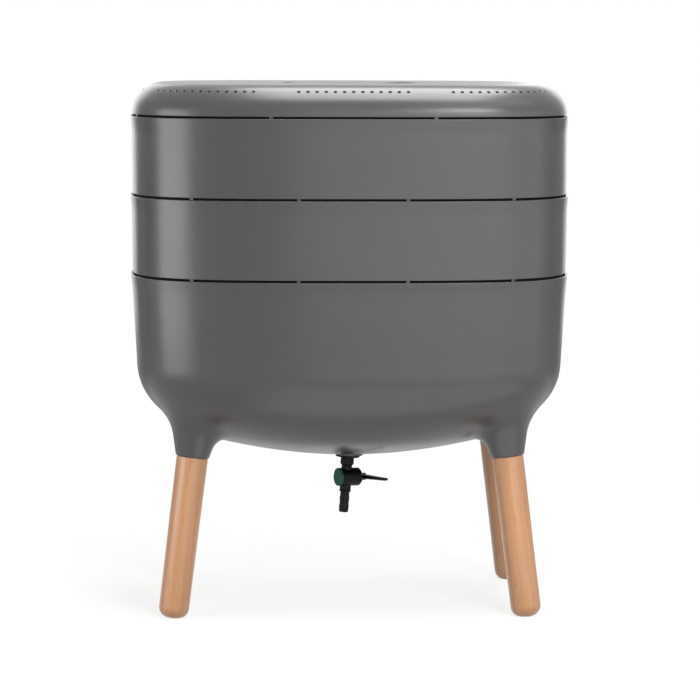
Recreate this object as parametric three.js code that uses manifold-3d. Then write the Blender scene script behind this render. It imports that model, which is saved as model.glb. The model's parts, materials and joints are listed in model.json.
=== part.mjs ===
// A worm composter: a moulded tub on four splayed beech legs, two perforated trays that nest on it,
// a vented lid, a sieve over the sump and a quarter-turn drain tap.
// Millimetres. +Z is up, the front faces -Y, and the origin is on the floor under the middle.
import * as THREE from "three";
import { mergeVertices } from "three/addons/utils/BufferGeometryUtils.js";
import Module from "manifold-3d";

const wasm = await Module();
wasm.setup();

// Driving dimensions
const WIDTH = 536;
const DEPTH = 366;
const PLAN_POWER = 3.4;
const WALL = 3;
const GROOVE = 2.5;
const BELLY_HEIGHT = 184;
const TUB_DEPTH = 229.5;
const SKIRT_INSET = 4.8;
const OVERRUN = 4;

// Mesh fineness
const PLAN_STEPS = 40;
const ROUND_STEPS = 16;
const SMALL_STEPS = 12;

// The tub's outside: a shallow bowl, a soft turn and a nearly upright wall that flares at its rim
const bowl = { rise: 29, insetX: 78, insetY: 58.5, power: 2.2, curve: 1.85, rings: 3 };
const turn = { height: 97, inset: 6.8, curve: 2.42, rings: 5 };
const wall = { lowInset: 1.8, lipInset: 1.4, lipHeight: 16 };
const tubRim = BELLY_HEIGHT + TUB_DEPTH;
const bowlTop = BELLY_HEIGHT + bowl.rise;
const turnTop = bowlTop + turn.height;
const bowlHalfWidth = WIDTH / 2 - bowl.insetX;
const bowlHalfDepth = DEPTH / 2 - bowl.insetY;

// Trays: the wall stands on a shoulder, and the skirt under it nests in the piece below
const tray = {
  wallHeight: 93.5,
  wallInset: 2.3,
  skirtDrop: 22,
  skirtDraft: 1,
  cornerCut: 5,
  floor: 3,
  holeRadius: 4,
  holePitch: 60,
  holeMargin: 22,
  tabCount: 12,
};
const tab = { width: 4.5, inset: 0.4, reach: 5, overlap: 0.5 };
const trayPitch = tray.wallHeight + GROOVE;

// Lid: its edge rounds over in a quarter circle to a flat top with a finger recess
const lid = {
  edgeInset: 1.5,
  round: 37,
  roundRings: 4,
  collarDrop: 14,
  collarThickness: 2.5,
  tabCount: 8,
};
const vent = { groups: 8, perGroup: 13, pitch: 10.7, radius: 1.5, sides: 4, tiltDeg: 51.5, length: 11 };
const grip = {
  halfWidth: 84,
  halfDepth: 47,
  depth: 17,
  power: 3,
  draft: 7,
  ribThickness: 13,
  ribDraft: 2,
  ribBelowTop: 3,
};

// Legs: each boot of the tub holds a turned beech leg, drawn up by a screw from inside the tub
const boot = {
  aboveBelly: 10,
  insetX: 76.4,
  insetY: 90,
  endRadius: 20.2,
  flareDeg: 14.5,
  blend: 20,
  sunk: 1.2,
};
const bootHeight = BELLY_HEIGHT + boot.aboveBelly;
const splay = { sidewaysDeg: 6.95, lengthwiseDeg: 4.8 };
const socket = { radius: 15.4, depth: 44, wall: 3.5, roof: 10, screwHoleRadius: 3.6 };
const leg = { gap: 0.3, topRadius: 19, footRadius: 18.3, tenonRadius: 15, footRound: 13, pressIn: 0.8 };
const legScrew = { radius: 3, length: 42, tip: 5, headRadius: 6.5, headHeight: 5, boreGap: 0.3, tipGap: 4 };
const legSeal = { radius: 9, thickness: 2, boreGap: 0.3 };

// Sieve: a perforated false floor that stands on ribs inside the tub
const sieve = {
  aboveBelly: 78,
  plate: 3,
  rimHeight: 11,
  rimThickness: 3,
  wallGap: 2.5,
  slotLength: 46,
  slotWidth: 5,
  pitchX: 82,
  pitchY: 42,
  margin: 16,
};
const sieveHeight = BELLY_HEIGHT + sieve.aboveBelly;
const rib = { thickness: 4, reach: 15, spreadX: 220, spreadY: 100 };

// Tap, in its own frame: the origin is the middle of the drain pad's underside, and it leans a little
const TAP_LEAN_DEG = 4;
const TAP_TURN_DEG = 27.4;
const tap = { clearance: 0.3, boreRadius: 4 };
const drainPad = { radius: 19, drop: 2.5, rise: 6, aboveFloor: 3.5, holeRadius: 10.8 };
const gasket = { radius: 14.2, thickness: 1.2 };
const flange = { radius: 15.2, thickness: 1.8 };
const thread = { radius: 10.4, aboveNut: 3 };
const neck = { topRadius: 7.6, bulgeRadius: 8.4, bulgeShare: 0.45, bottomRadius: 6.6 };
const barrel = { drop: 29, radius: 11.3, from: -9.6, to: 20.2, chamfer: 3.6, endWall: 3 };
const plug = { radius: 6.3, grooveRadius: 4.9, grooveWidth: 2.4, stemRadius: 3, stemReach: 5.5 };
const seal = { fromEnd: 2.4 };
const outlet = { radius: 7, drop: 5 };
const tail = {
  length: 28,
  collarRadius: 7.5,
  collarHeight: 1.6,
  rootRadius: 5.7,
  barbRadius: 6.2,
  barbs: 2,
  spigot: 3,
};
const cap = { thickness: 2.4, edge: 0.8 };
const lever = {
  length: 56,
  width: 7,
  rootThickness: 6.2,
  tipThickness: 3.4,
  liftDeg: 6.7,
  hubRadius: 4.6,
  hubLength: 7,
};
const leverScrew = { radius: 1.4, length: 6, headRadius: 2.8, headHeight: 1.6 };
const locknut = { radius: 16, height: 6 };

// Colours as the photograph shows them
const moulded = new THREE.MeshStandardMaterial({ color: 0x666466, roughness: 0.42, metalness: 0 });
const beech = new THREE.MeshStandardMaterial({ color: 0xd3a077, roughness: 0.5, metalness: 0 });
const blackPlastic = new THREE.MeshStandardMaterial({ color: 0x181a1b, roughness: 0.4, metalness: 0 });
const greenPlastic = new THREE.MeshStandardMaterial({ color: 0x2f6652, roughness: 0.4, metalness: 0 });
const rubber = new THREE.MeshStandardMaterial({ color: 0x202020, roughness: 0.8, metalness: 0 });
const steel = new THREE.MeshStandardMaterial({ color: 0xb9bcc0, roughness: 0.3, metalness: 1 });

const radians = THREE.MathUtils.degToRad;
const point = (x, y, z) => new THREE.Vector3(x, y, z);

// Solids and their joins

function solid(geometry) {
  const bare = geometry.index ? geometry.toNonIndexed() : geometry.clone();
  bare.deleteAttribute("normal");
  bare.deleteAttribute("uv");
  const merged = mergeVertices(bare);
  return new wasm.Manifold(
    new wasm.Mesh({
      numProp: 3,
      vertProperties: merged.attributes.position.array,
      triVerts: new Uint32Array(merged.index.array),
    }),
  );
}

function geometryOf(made) {
  const mesh = made.getMesh();
  const geometry = new THREE.BufferGeometry();
  geometry.setAttribute("position", new THREE.BufferAttribute(mesh.vertProperties, mesh.numProp));
  geometry.setIndex(new THREE.BufferAttribute(mesh.triVerts, 1));
  geometry.computeVertexNormals();
  return geometry;
}

const joined = (solids) => solids.reduce((sum, next) => sum.add(next));
const placed = (geometry, matrix) => solid(geometry.clone().applyMatrix4(matrix));

function named(name, made, material) {
  const mesh = new THREE.Mesh(made.isBufferGeometry ? made : geometryOf(made), material);
  mesh.name = name;
  return mesh;
}

// A closed skin over rings of equally many points, from a start point out over the rings to an end point.
function skin(start, rings, end) {
  const steps = rings[0].length;
  const corners = [];
  const face = (a, b, c) => corners.push(a, b, c);
  for (let j = 0; j < steps; j += 1) {
    const next = (j + 1) % steps;
    face(start, rings[0][next], rings[0][j]);
    for (let i = 0; i + 1 < rings.length; i += 1) {
      face(rings[i][j], rings[i][next], rings[i + 1][next]);
      face(rings[i][j], rings[i + 1][next], rings[i + 1][j]);
    }
    face(end, rings.at(-1)[j], rings.at(-1)[next]);
  }
  return new THREE.BufferGeometry().setFromPoints(corners);
}

// A lathe about Z from [radius, z] pairs that run up the outside.
function turned(outline, steps = ROUND_STEPS) {
  const geometry = new THREE.LatheGeometry(
    outline.map(([radius, z]) => new THREE.Vector2(radius, z)),
    steps,
  );
  return geometry.rotateX(Math.PI / 2);
}

// A lathe of a closed outline, for pieces with a bore.
const turnedRing = (outline, steps = ROUND_STEPS) => turned([...outline, outline[0]], steps);

function rod(radius, fromZ, toZ, steps = ROUND_STEPS) {
  return turned([[0, fromZ], [radius, fromZ], [radius, toZ], [0, toZ]], steps);
}

// The plan shape

const planCurve = (value, power) => Math.sign(value) * Math.abs(value) ** (2 / power);

function planPoint(halfWidth, halfDepth, power, angle, z) {
  return point(
    halfWidth * planCurve(Math.cos(angle), power),
    halfDepth * planCurve(Math.sin(angle), power),
    z,
  );
}

function ovalRing({ halfWidth, halfDepth, power, z }, steps = PLAN_STEPS) {
  return Array.from({ length: steps }, (_, i) =>
    planPoint(halfWidth, halfDepth, power, (2 * Math.PI * i) / steps, z),
  );
}

// A ring drawn in from the rims' shape by an inset.
const rimRing = (inset, z) =>
  ovalRing({ halfWidth: WIDTH / 2 - inset, halfDepth: DEPTH / 2 - inset, power: PLAN_POWER, z });

// Points at given walks along a ring drawn in from the rims, from the middle of the front, each with
// its outward direction.
function walkRim(inset, walks) {
  const fine = 1440;
  const around = Array.from({ length: fine + 1 }, (_, i) =>
    planPoint(WIDTH / 2 - inset, DEPTH / 2 - inset, PLAN_POWER, (2 * Math.PI * i) / fine - Math.PI / 2, 0),
  );
  const lengths = [0];
  for (let i = 1; i <= fine; i += 1) {
    lengths.push(lengths[i - 1] + around[i].distanceTo(around[i - 1]));
  }
  const total = lengths[fine];
  return walks(total).map((walk) => {
    const wanted = ((walk % total) + total) % total;
    const i = Math.max(1, lengths.findIndex((length) => length >= wanted));
    const share = (wanted - lengths[i - 1]) / (lengths[i] - lengths[i - 1]);
    const along = around[i].clone().sub(around[i - 1]).normalize();
    return {
      spot: around[i - 1].clone().lerp(around[i], share),
      outward: point(along.y, -along.x, 0),
    };
  });
}

const evenWalks = (count) => (total) =>
  Array.from({ length: count }, (_, i) => ((i + 1 / 2) * total) / count);

// The tub's outer half-sizes and plan power at a height.
function tubSection(z) {
  const wallHalfWidth = WIDTH / 2 - turn.inset;
  const wallHalfDepth = DEPTH / 2 - turn.inset;
  if (z <= bowlTop) {
    const share = (Math.max(0, z - BELLY_HEIGHT) / bowl.rise) ** (1 / bowl.curve);
    return {
      halfWidth: bowlHalfWidth * share,
      halfDepth: bowlHalfDepth * share,
      power: bowl.power,
      z,
    };
  }
  if (z <= turnTop) {
    const left = ((turnTop - z) / turn.height) ** turn.curve;
    return {
      halfWidth: wallHalfWidth - (wallHalfWidth - bowlHalfWidth) * left,
      halfDepth: wallHalfDepth - (wallHalfDepth - bowlHalfDepth) * left,
      power: PLAN_POWER - (PLAN_POWER - bowl.power) * left,
      z,
    };
  }
  const up = (z - turnTop) / (tubRim - wall.lipHeight - turnTop);
  const inset = turn.inset + (wall.lowInset - turn.inset) * Math.min(1, up);
  const lip = Math.max(0, (z - tubRim + wall.lipHeight) / wall.lipHeight);
  const firstFlare = (wall.lowInset - wall.lipInset) * Math.min(1, 2 * lip);
  const lastFlare = wall.lipInset * Math.max(0, 2 * lip - 1);
  const drawn = inset - firstFlare - lastFlare;
  return { halfWidth: WIDTH / 2 - drawn, halfDepth: DEPTH / 2 - drawn, power: PLAN_POWER, z };
}

const tubHeights = [
  ...Array.from({ length: bowl.rings }, (_, i) => BELLY_HEIGHT + bowl.rise * ((i + 1) / bowl.rings) ** 2),
  ...Array.from({ length: turn.rings }, (_, i) => bowlTop + (turn.height * (i + 1)) / turn.rings),
  tubRim - wall.lipHeight,
  tubRim - wall.lipHeight / 2,
  tubRim,
];

// The tub's inside is its outside raised by the floor and drawn in by the wall.
function hollowSection(z) {
  const outer = tubSection(z - WALL);
  return { ...outer, halfWidth: outer.halfWidth - WALL, halfDepth: outer.halfDepth - WALL, z };
}

// Distances for the soft blend of tub and boots

const blendRise = turnTop + turn.height / 2 - BELLY_HEIGHT;
const blendHeights = Array.from({ length: 33 }, (_, i) => BELLY_HEIGHT + blendRise * (i / 32) ** 2);

// A point's distance from the tub's outside, measured in the upright plane through the tub's middle.
function tubDistance(p) {
  const reach = Math.hypot(p.x, p.y);
  const [cosine, sine] = [Math.abs(p.x) / reach, Math.abs(p.y) / reach];
  const radiusAt = ({ halfWidth, halfDepth, power }) =>
    halfWidth === 0 ? 0 : ((cosine / halfWidth) ** power + (sine / halfDepth) ** power) ** (-1 / power);
  const spot = new THREE.Vector2(reach, p.z);
  const profile = blendHeights.map((z) => new THREE.Vector2(radiusAt(tubSection(z)), z));
  let nearest = Infinity;
  for (let i = 1; i < profile.length; i += 1) {
    const run = profile[i].clone().sub(profile[i - 1]);
    const share = THREE.MathUtils.clamp(spot.clone().sub(profile[i - 1]).dot(run) / run.lengthSq(), 0, 1);
    nearest = Math.min(nearest, spot.distanceTo(profile[i - 1].clone().addScaledVector(run, share)));
  }
  const inside = p.z > BELLY_HEIGHT && reach < radiusAt(tubSection(p.z));
  return inside ? -nearest : nearest;
}

// Each leg's frame: the middle of its boot's end, the way up the leg and two directions across it.
function legFrame(sideX, sideY) {
  const up = point(
    -sideX * Math.tan(radians(splay.sidewaysDeg)),
    -sideY * Math.tan(radians(splay.lengthwiseDeg)),
    1,
  ).normalize();
  const across = point(0, 1, 0).cross(up).normalize();
  const along = up.clone().cross(across);
  const end = point(sideX * (WIDTH / 2 - boot.insetX), sideY * (DEPTH / 2 - boot.insetY), bootHeight);
  const matrix = new THREE.Matrix4().makeBasis(across, along, up).setPosition(end);
  return { up, across, along, end, matrix };
}

function bootDistance(p, frame) {
  const offset = p.clone().sub(frame.end);
  const rise = offset.dot(frame.up);
  const reach = offset.addScaledVector(frame.up, -rise).length();
  const flare = radians(boot.flareDeg);
  return (reach - boot.endRadius - rise * Math.tan(flare)) * Math.cos(flare);
}

function blendedDistance(p, frame) {
  const [a, b] = [tubDistance(p), bootDistance(p, frame)];
  const overlap = Math.max(0, boot.blend - Math.abs(a - b)) / boot.blend;
  return Math.min(a, b) - (boot.blend * overlap ** 2) / 4;
}

// How far a ray runs from inside a shape to its surface.
function rayLength(origin, direction, longest, distance) {
  let [near, far] = [0, longest];
  for (let i = 0; i < 26; i += 1) {
    const middle = (near + far) / 2;
    if (distance(origin.clone().addScaledVector(direction, middle)) < 0) near = middle;
    else far = middle;
  }
  return near;
}

// A boot as a skin around a point above it: its flat end, its sides and the fillet that runs into the tub.
function bootSolid(frame) {
  const steps = 16;
  const rings = 6;
  const coreShare = 0.75;
  const longest = 4 * bootHeight;
  const core = frame.end.clone().addScaledVector(frame.up, (turnTop - bootHeight) * coreShare);
  const distance = (p) => blendedDistance(p, frame);
  const columns = Array.from({ length: steps }, (_, j) => {
    const angle = (2 * Math.PI * j) / steps;
    const radial = point(0, 0, 0)
      .addScaledVector(frame.across, Math.cos(angle))
      .addScaledVector(frame.along, Math.sin(angle));
    const endReach = rayLength(frame.end, radial, longest, distance);
    const first = frame.end.clone().addScaledVector(radial, endReach);
    const hit = (lean, shorter = 0) => {
      const way = point(0, 0, 0)
        .addScaledVector(frame.up, -Math.cos(lean))
        .addScaledVector(radial, Math.sin(lean));
      return core.clone().addScaledVector(way, rayLength(core, way, longest, distance) - shorter);
    };
    const lowest = Math.atan2(endReach, core.distanceTo(frame.end));
    let [near, far] = [lowest, Math.PI / 2];
    for (let i = 0; i < 16; i += 1) {
      const middle = (near + far) / 2;
      if (bootDistance(hit(middle), frame) < boot.blend) near = middle;
      else far = middle;
    }
    return Array.from({ length: rings }, (_, i) => {
      const share = i / (rings - 1);
      return i === 0 ? first : hit(lowest + (far - lowest) * share, i === rings - 1 ? boot.sunk : 0);
    });
  });
  const ringsOut = Array.from({ length: rings }, (_, i) => columns.map((column) => column[i]));
  return solid(skin(frame.end, ringsOut, core));
}

const sides = [
  ["front_left", -1, -1],
  ["front_right", 1, -1],
  ["rear_left", -1, 1],
  ["rear_right", 1, 1],
].map(([place, sideX, sideY]) => ({ place, frame: legFrame(sideX, sideY) }));

const bossTop = socket.depth + socket.roof;
const screwSeat = bossTop + legSeal.thickness;

// The tap's frame, and how far its pad's upper face is from its underside
const padTop = drainPad.drop + WALL + drainPad.aboveFloor;
const tapMatrix = new THREE.Matrix4()
  .makeRotationY(radians(TAP_LEAN_DEG))
  .setPosition(0, 0, BELLY_HEIGHT - drainPad.drop);

// Tub

function tubSolid() {
  const outer = solid(
    skin(point(0, 0, BELLY_HEIGHT), tubHeights.map((z) => ovalRing(tubSection(z))), point(0, 0, tubRim)),
  );
  const hollow = solid(
    skin(
      point(0, 0, BELLY_HEIGHT + WALL),
      [
        ...tubHeights.slice(0, -1).map((z) => ovalRing(hollowSection(z + WALL))),
        rimRing(WALL, tubRim),
        rimRing(WALL, tubRim + OVERRUN),
      ],
      point(0, 0, tubRim + OVERRUN),
    ),
  );
  const padBelow = placed(rod(drainPad.radius, 0, drainPad.rise), tapMatrix);
  const padAbove = placed(rod(drainPad.radius, drainPad.rise - OVERRUN, padTop), tapMatrix);
  const boots = sides.map(({ frame }) => bootSolid(frame));
  const shell = joined([outer, padBelow, ...boots]).subtract(hollow);
  const bossRadius = socket.radius + socket.wall;
  const bosses = sides.map(({ frame }) => placed(rod(bossRadius, 0, bossTop), frame.matrix));
  const ribs = joined(ribSolids()).intersect(outer);
  const bore = rod(socket.radius, -OVERRUN, socket.depth);
  const screwHole = rod(
    socket.screwHoleRadius,
    socket.depth - OVERRUN,
    bossTop + OVERRUN,
    SMALL_STEPS,
  );
  const cuts = sides.flatMap(({ frame }) => [placed(bore, frame.matrix), placed(screwHole, frame.matrix)]);
  const drain = placed(rod(drainPad.holeRadius, -OVERRUN, padTop + OVERRUN), tapMatrix);
  return joined([shell, padAbove, ribs, ...bosses]).subtract(joined([drain, ...cuts]));
}

// Ribs along the tub's wall that carry the sieve.
function ribSolids() {
  const low = BELLY_HEIGHT + bowl.rise / 2;
  const section = hollowSection(sieveHeight);
  const upright = (across, along, x, y) =>
    solid(
      new THREE.BoxGeometry(across, along, sieveHeight - low).translate(x, y, (sieveHeight + low) / 2),
    );
  const made = [];
  const edge = (share, power) => (1 - Math.abs(share) ** power) ** (1 / power);
  for (const side of [-1, 1]) {
    for (const end of [-1, 1]) {
      const x = (side * rib.spreadX) / 2;
      const y = (end * rib.spreadY) / 2;
      const frontY = end * section.halfDepth * edge(x / section.halfWidth, section.power);
      const sideX = side * section.halfWidth * edge(y / section.halfDepth, section.power);
      made.push(upright(rib.thickness, 2 * rib.reach, x, frontY));
      made.push(upright(2 * rib.reach, rib.thickness, sideX, y));
    }
  }
  return made;
}

// Trays

function tabSolids(count, outerInset) {
  return walkRim(outerInset + tab.inset, evenWalks(count)).map(({ spot, outward }) => {
    const box = new THREE.BoxGeometry(tab.reach, tab.width, GROOVE + tab.overlap);
    box.translate(-tab.reach / 2, 0, (tab.overlap - GROOVE) / 2);
    box.rotateZ(Math.atan2(outward.y, outward.x));
    return solid(box.translate(spot.x, spot.y, 0));
  });
}

// Places on a staggered grid inside an oval.
function gridInside(halfWidth, halfDepth, power, pitchX, pitchY) {
  const spots = [];
  const rows = Math.floor(halfDepth / pitchY);
  for (let row = -rows; row <= rows; row += 1) {
    const shift = row % 2 === 0 ? 0 : pitchX / 2;
    const columns = Math.ceil(halfWidth / pitchX);
    for (let column = -columns; column <= columns; column += 1) {
      const [x, y] = [column * pitchX + shift, row * pitchY];
      if (Math.abs(x / halfWidth) ** power + Math.abs(y / halfDepth) ** power <= 1) spots.push([x, y]);
    }
  }
  return spots;
}

function traySolid() {
  const bottom = -tray.skirtDrop;
  const skirtFoot = SKIRT_INSET + tray.skirtDraft;
  const lipFoot = tray.wallHeight - wall.lipHeight;
  const shell = solid(
    skin(
      point(0, 0, bottom),
      [
        rimRing(skirtFoot + tray.cornerCut, bottom),
        rimRing(skirtFoot, bottom + tray.cornerCut),
        rimRing(SKIRT_INSET, 0),
        rimRing(tray.wallInset, 0),
        rimRing(wall.lipInset, lipFoot),
        rimRing(0, tray.wallHeight),
        rimRing(WALL, tray.wallHeight),
        rimRing(wall.lipInset + WALL, lipFoot),
        rimRing(tray.wallInset + WALL, WALL),
        rimRing(SKIRT_INSET + WALL, WALL),
        rimRing(skirtFoot + WALL, bottom + tray.cornerCut + WALL / 2),
        rimRing(skirtFoot + tray.cornerCut + WALL / 2, bottom + tray.floor),
      ],
      point(0, 0, bottom + tray.floor),
    ),
  );
  const margin = skirtFoot + WALL + tray.holeMargin;
  const rowPitch = (tray.holePitch * Math.sqrt(3)) / 2;
  const spots = gridInside(WIDTH / 2 - margin, DEPTH / 2 - margin, PLAN_POWER, tray.holePitch, rowPitch);
  const holes = spots.map(([x, y]) =>
    solid(rod(tray.holeRadius, bottom - OVERRUN, bottom + tray.floor + OVERRUN, 6).translate(x, y, 0)),
  );
  return joined([shell, ...tabSolids(tray.tabCount, tray.wallInset)]).subtract(joined(holes));
}

// Lid

function lidSolid() {
  const rounding = (offset) =>
    Array.from({ length: lid.roundRings + 1 }, (_, i) => {
      const angle = (Math.PI / 2) * (i / lid.roundRings);
      const radius = lid.round - offset;
      return rimRing(lid.edgeInset + lid.round - radius * Math.cos(angle), radius * Math.sin(angle));
    });
  const inside = rounding(WALL).slice(1).reverse();
  const shell = solid(
    skin(
      point(0, 0, lid.round - WALL),
      [
        ...inside,
        rimRing(SKIRT_INSET + lid.collarThickness, WALL),
        rimRing(SKIRT_INSET + lid.collarThickness, -lid.collarDrop),
        rimRing(SKIRT_INSET, -lid.collarDrop),
        rimRing(SKIRT_INSET, 0),
        ...rounding(0),
      ],
      point(0, 0, lid.round),
    ),
  );
  const cupFloor = lid.round - grip.depth;
  const wellRing = (grow, z) =>
    ovalRing(
      { halfWidth: grip.halfWidth + grow, halfDepth: grip.halfDepth + grow, power: grip.power, z },
      ROUND_STEPS,
    );
  const cup = solid(
    skin(
      point(0, 0, cupFloor - WALL),
      [wellRing(WALL - grip.draft, cupFloor - WALL), wellRing(WALL, lid.round - WALL / 2)],
      point(0, 0, lid.round - WALL / 2),
    ),
  );
  const well = solid(
    skin(
      point(0, 0, cupFloor),
      [wellRing(-grip.draft, cupFloor), wellRing(0, lid.round), wellRing(0, lid.round + OVERRUN)],
      point(0, 0, lid.round + OVERRUN),
    ),
  );
  const ribTop = lid.round - grip.ribBelowTop;
  const ribHalf = grip.ribThickness / 2;
  const ribShape = new THREE.Shape([
    new THREE.Vector2(-ribHalf - grip.ribDraft, cupFloor - WALL),
    new THREE.Vector2(ribHalf + grip.ribDraft, cupFloor - WALL),
    new THREE.Vector2(ribHalf, ribTop),
    new THREE.Vector2(-ribHalf, ribTop),
  ]);
  const ribLength = 2 * grip.halfWidth;
  const ribBar = new THREE.ExtrudeGeometry(ribShape, { depth: ribLength, bevelEnabled: false })
    .translate(0, 0, -ribLength / 2)
    .rotateX(Math.PI / 2)
    .rotateZ(Math.PI / 2);
  const gripRib = solid(ribBar).intersect(cup);
  const body = joined([shell, cup, ...tabSolids(lid.tabCount, lid.edgeInset)]);
  return body.subtract(well).add(gripRib).subtract(joined(ventSolids()));
}

// Vent holes in groups around the rounded shoulder, square to its surface.
function ventSolids() {
  const tilt = radians(vent.tiltDeg);
  const inset = lid.edgeInset + lid.round * (1 - Math.cos(tilt));
  const middle = (vent.perGroup - 1) / 2;
  const walks = (total) =>
    Array.from({ length: vent.groups * vent.perGroup }, (_, i) => {
      const group = Math.floor(i / vent.perGroup);
      return (group * total) / vent.groups + ((i % vent.perGroup) - middle) * vent.pitch;
    });
  const drill = rod(vent.radius, -vent.length / 2, vent.length / 2, vent.sides).rotateY(Math.PI / 2 - tilt);
  return walkRim(inset, walks).map(({ spot, outward }) =>
    solid(
      drill
        .clone()
        .rotateZ(Math.atan2(outward.y, outward.x))
        .translate(spot.x, spot.y, lid.round * Math.sin(tilt)),
    ),
  );
}

// Sieve

function sieveSolid() {
  const section = hollowSection(sieveHeight);
  const ring = (inset, z) =>
    ovalRing({
      halfWidth: section.halfWidth - sieve.wallGap - inset,
      halfDepth: section.halfDepth - sieve.wallGap - inset,
      power: section.power,
      z,
    });
  const plateFoot = sieve.rimHeight - sieve.plate;
  const shell = solid(
    skin(
      point(0, 0, plateFoot),
      [
        ring(sieve.rimThickness, plateFoot),
        ring(sieve.rimThickness, 0),
        ring(0, 0),
        ring(0, sieve.rimHeight),
      ],
      point(0, 0, sieve.rimHeight),
    ),
  );
  const margin = sieve.wallGap + sieve.rimThickness + sieve.margin;
  const spots = gridInside(
    section.halfWidth - margin,
    section.halfDepth - margin,
    section.power,
    sieve.pitchX,
    sieve.pitchY,
  );
  const slots = spots.map(([x, y]) => solid(slotGeometry().translate(x, y, plateFoot - OVERRUN)));
  return shell.subtract(joined(slots));
}

function slotGeometry() {
  const half = sieve.slotLength / 2 - sieve.slotWidth / 2;
  const radius = sieve.slotWidth / 2;
  const shape = new THREE.Shape();
  shape.absarc(half, 0, radius, -Math.PI / 2, Math.PI / 2, false);
  shape.absarc(-half, 0, radius, Math.PI / 2, (3 * Math.PI) / 2, false);
  return new THREE.ExtrudeGeometry(shape, {
    depth: sieve.plate + 2 * OVERRUN,
    bevelEnabled: false,
    curveSegments: 2,
  });
}

// Legs, screws and sealing washers, each in its leg's frame

function legSolid(frame) {
  const fall = bootHeight / frame.up.z;
  const footEnd = -fall - leg.pressIn;
  const rounding = Array.from({ length: 4 }, (_, i) => {
    const angle = (Math.PI / 2) * (i / 4);
    return [
      leg.footRadius - leg.footRound * (1 - Math.sin(angle)),
      footEnd + leg.footRound * (1 - Math.cos(angle)),
    ];
  });
  const body = solid(
    turned([
      [0, footEnd],
      ...rounding,
      [leg.footRadius, footEnd + leg.footRound],
      [leg.topRadius, -leg.gap],
      [leg.tenonRadius, -leg.gap],
      [leg.tenonRadius, socket.depth - leg.gap],
      [0, socket.depth - leg.gap],
    ]),
  );
  const boreFoot = screwSeat - legScrew.length - legScrew.tipGap;
  const bore = solid(
    rod(legScrew.radius + legScrew.boreGap, boreFoot, socket.depth + OVERRUN, SMALL_STEPS),
  );
  const ground = new THREE.BoxGeometry(bootHeight, bootHeight, 2 * leg.topRadius);
  ground.translate(frame.end.x, frame.end.y, -leg.topRadius);
  const sunkGround = placed(ground, frame.matrix.clone().invert());
  return body.subtract(bore).subtract(sunkGround);
}

function legScrewSolid() {
  const seat = screwSeat;
  const head = solid(rod(legScrew.headRadius, seat, seat + legScrew.headHeight, 6));
  const shank = solid(
    turned(
      [
        [0, seat - legScrew.length],
        [legScrew.radius, seat - legScrew.length + legScrew.tip],
        [legScrew.radius, seat + legScrew.headHeight / 2],
        [0, seat + legScrew.headHeight / 2],
      ],
      SMALL_STEPS,
    ),
  );
  return head.add(shank);
}

function legSealGeometry() {
  const inner = legScrew.radius + legSeal.boreGap;
  return turnedRing(
    [
      [inner, bossTop],
      [legSeal.radius, bossTop],
      [legSeal.radius, screwSeat],
      [inner, screwSeat],
    ],
    SMALL_STEPS,
  );
}

// Tap pieces. Everything that the plug's axis carries is made along +Z and turned to lie level.

const tapAxisMatrix = new THREE.Matrix4()
  .makeRotationZ(radians(TAP_TURN_DEG))
  .multiply(new THREE.Matrix4().makeRotationY(Math.PI / 2))
  .setPosition(0, 0, -barrel.drop);

function tapBodySolid() {
  const flangeTop = -gasket.thickness;
  const flangeFoot = flangeTop - flange.thickness;
  const neckFoot = -barrel.drop + barrel.radius / 2;
  const neckRun = flangeFoot - neckFoot;
  const threadTop = nutTop + thread.aboveNut;
  const inlet = turned([
    [0, neckFoot],
    [neck.bottomRadius, neckFoot],
    [neck.bottomRadius, flangeFoot - neckRun * (1 - neck.bulgeShare)],
    [neck.bulgeRadius, flangeFoot - neckRun * neck.bulgeShare],
    [neck.topRadius, flangeFoot],
    [flange.radius, flangeFoot],
    [flange.radius, flangeTop],
    [thread.radius, flangeTop],
    [thread.radius, threadTop],
    [0, threadTop],
  ]);
  const housing = turned([
    [0, barrel.from],
    [barrel.radius, barrel.from],
    [barrel.radius, barrel.to - barrel.chamfer],
    [barrel.radius - barrel.chamfer, barrel.to],
    [0, barrel.to],
  ]);
  const outletFoot = -barrel.drop - barrel.radius - outlet.drop;
  const spout = rod(outlet.radius, outletFoot, -barrel.drop);
  const flow = rod(tap.boreRadius, outletFoot - OVERRUN, threadTop + OVERRUN, SMALL_STEPS);
  const spigotSeat = rod(
    tail.rootRadius + tap.clearance,
    outletFoot - OVERRUN,
    outletFoot + tail.spigot + tap.clearance,
    SMALL_STEPS,
  );
  const plugBore = rod(
    plug.radius + tap.clearance,
    barrel.from - OVERRUN,
    barrel.to - barrel.endWall,
    SMALL_STEPS,
  );
  const stemBore = rod(plug.stemRadius + tap.clearance, 0, barrel.to + OVERRUN, SMALL_STEPS);
  const bores = [
    solid(flow),
    solid(spigotSeat),
    placed(plugBore, tapAxisMatrix),
    placed(stemBore, tapAxisMatrix),
  ];
  return joined([solid(inlet), placed(housing, tapAxisMatrix), solid(spout)]).subtract(joined(bores));
}

const plugFrom = barrel.from + tap.clearance;
const plugTo = barrel.to - barrel.endWall - tap.clearance;
const stemEnd = plugTo + barrel.endWall + plug.stemReach;
const leverFrom = barrel.to + tap.clearance;
const sealPlaces = [plugFrom + seal.fromEnd, plugTo - seal.fromEnd];

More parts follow.
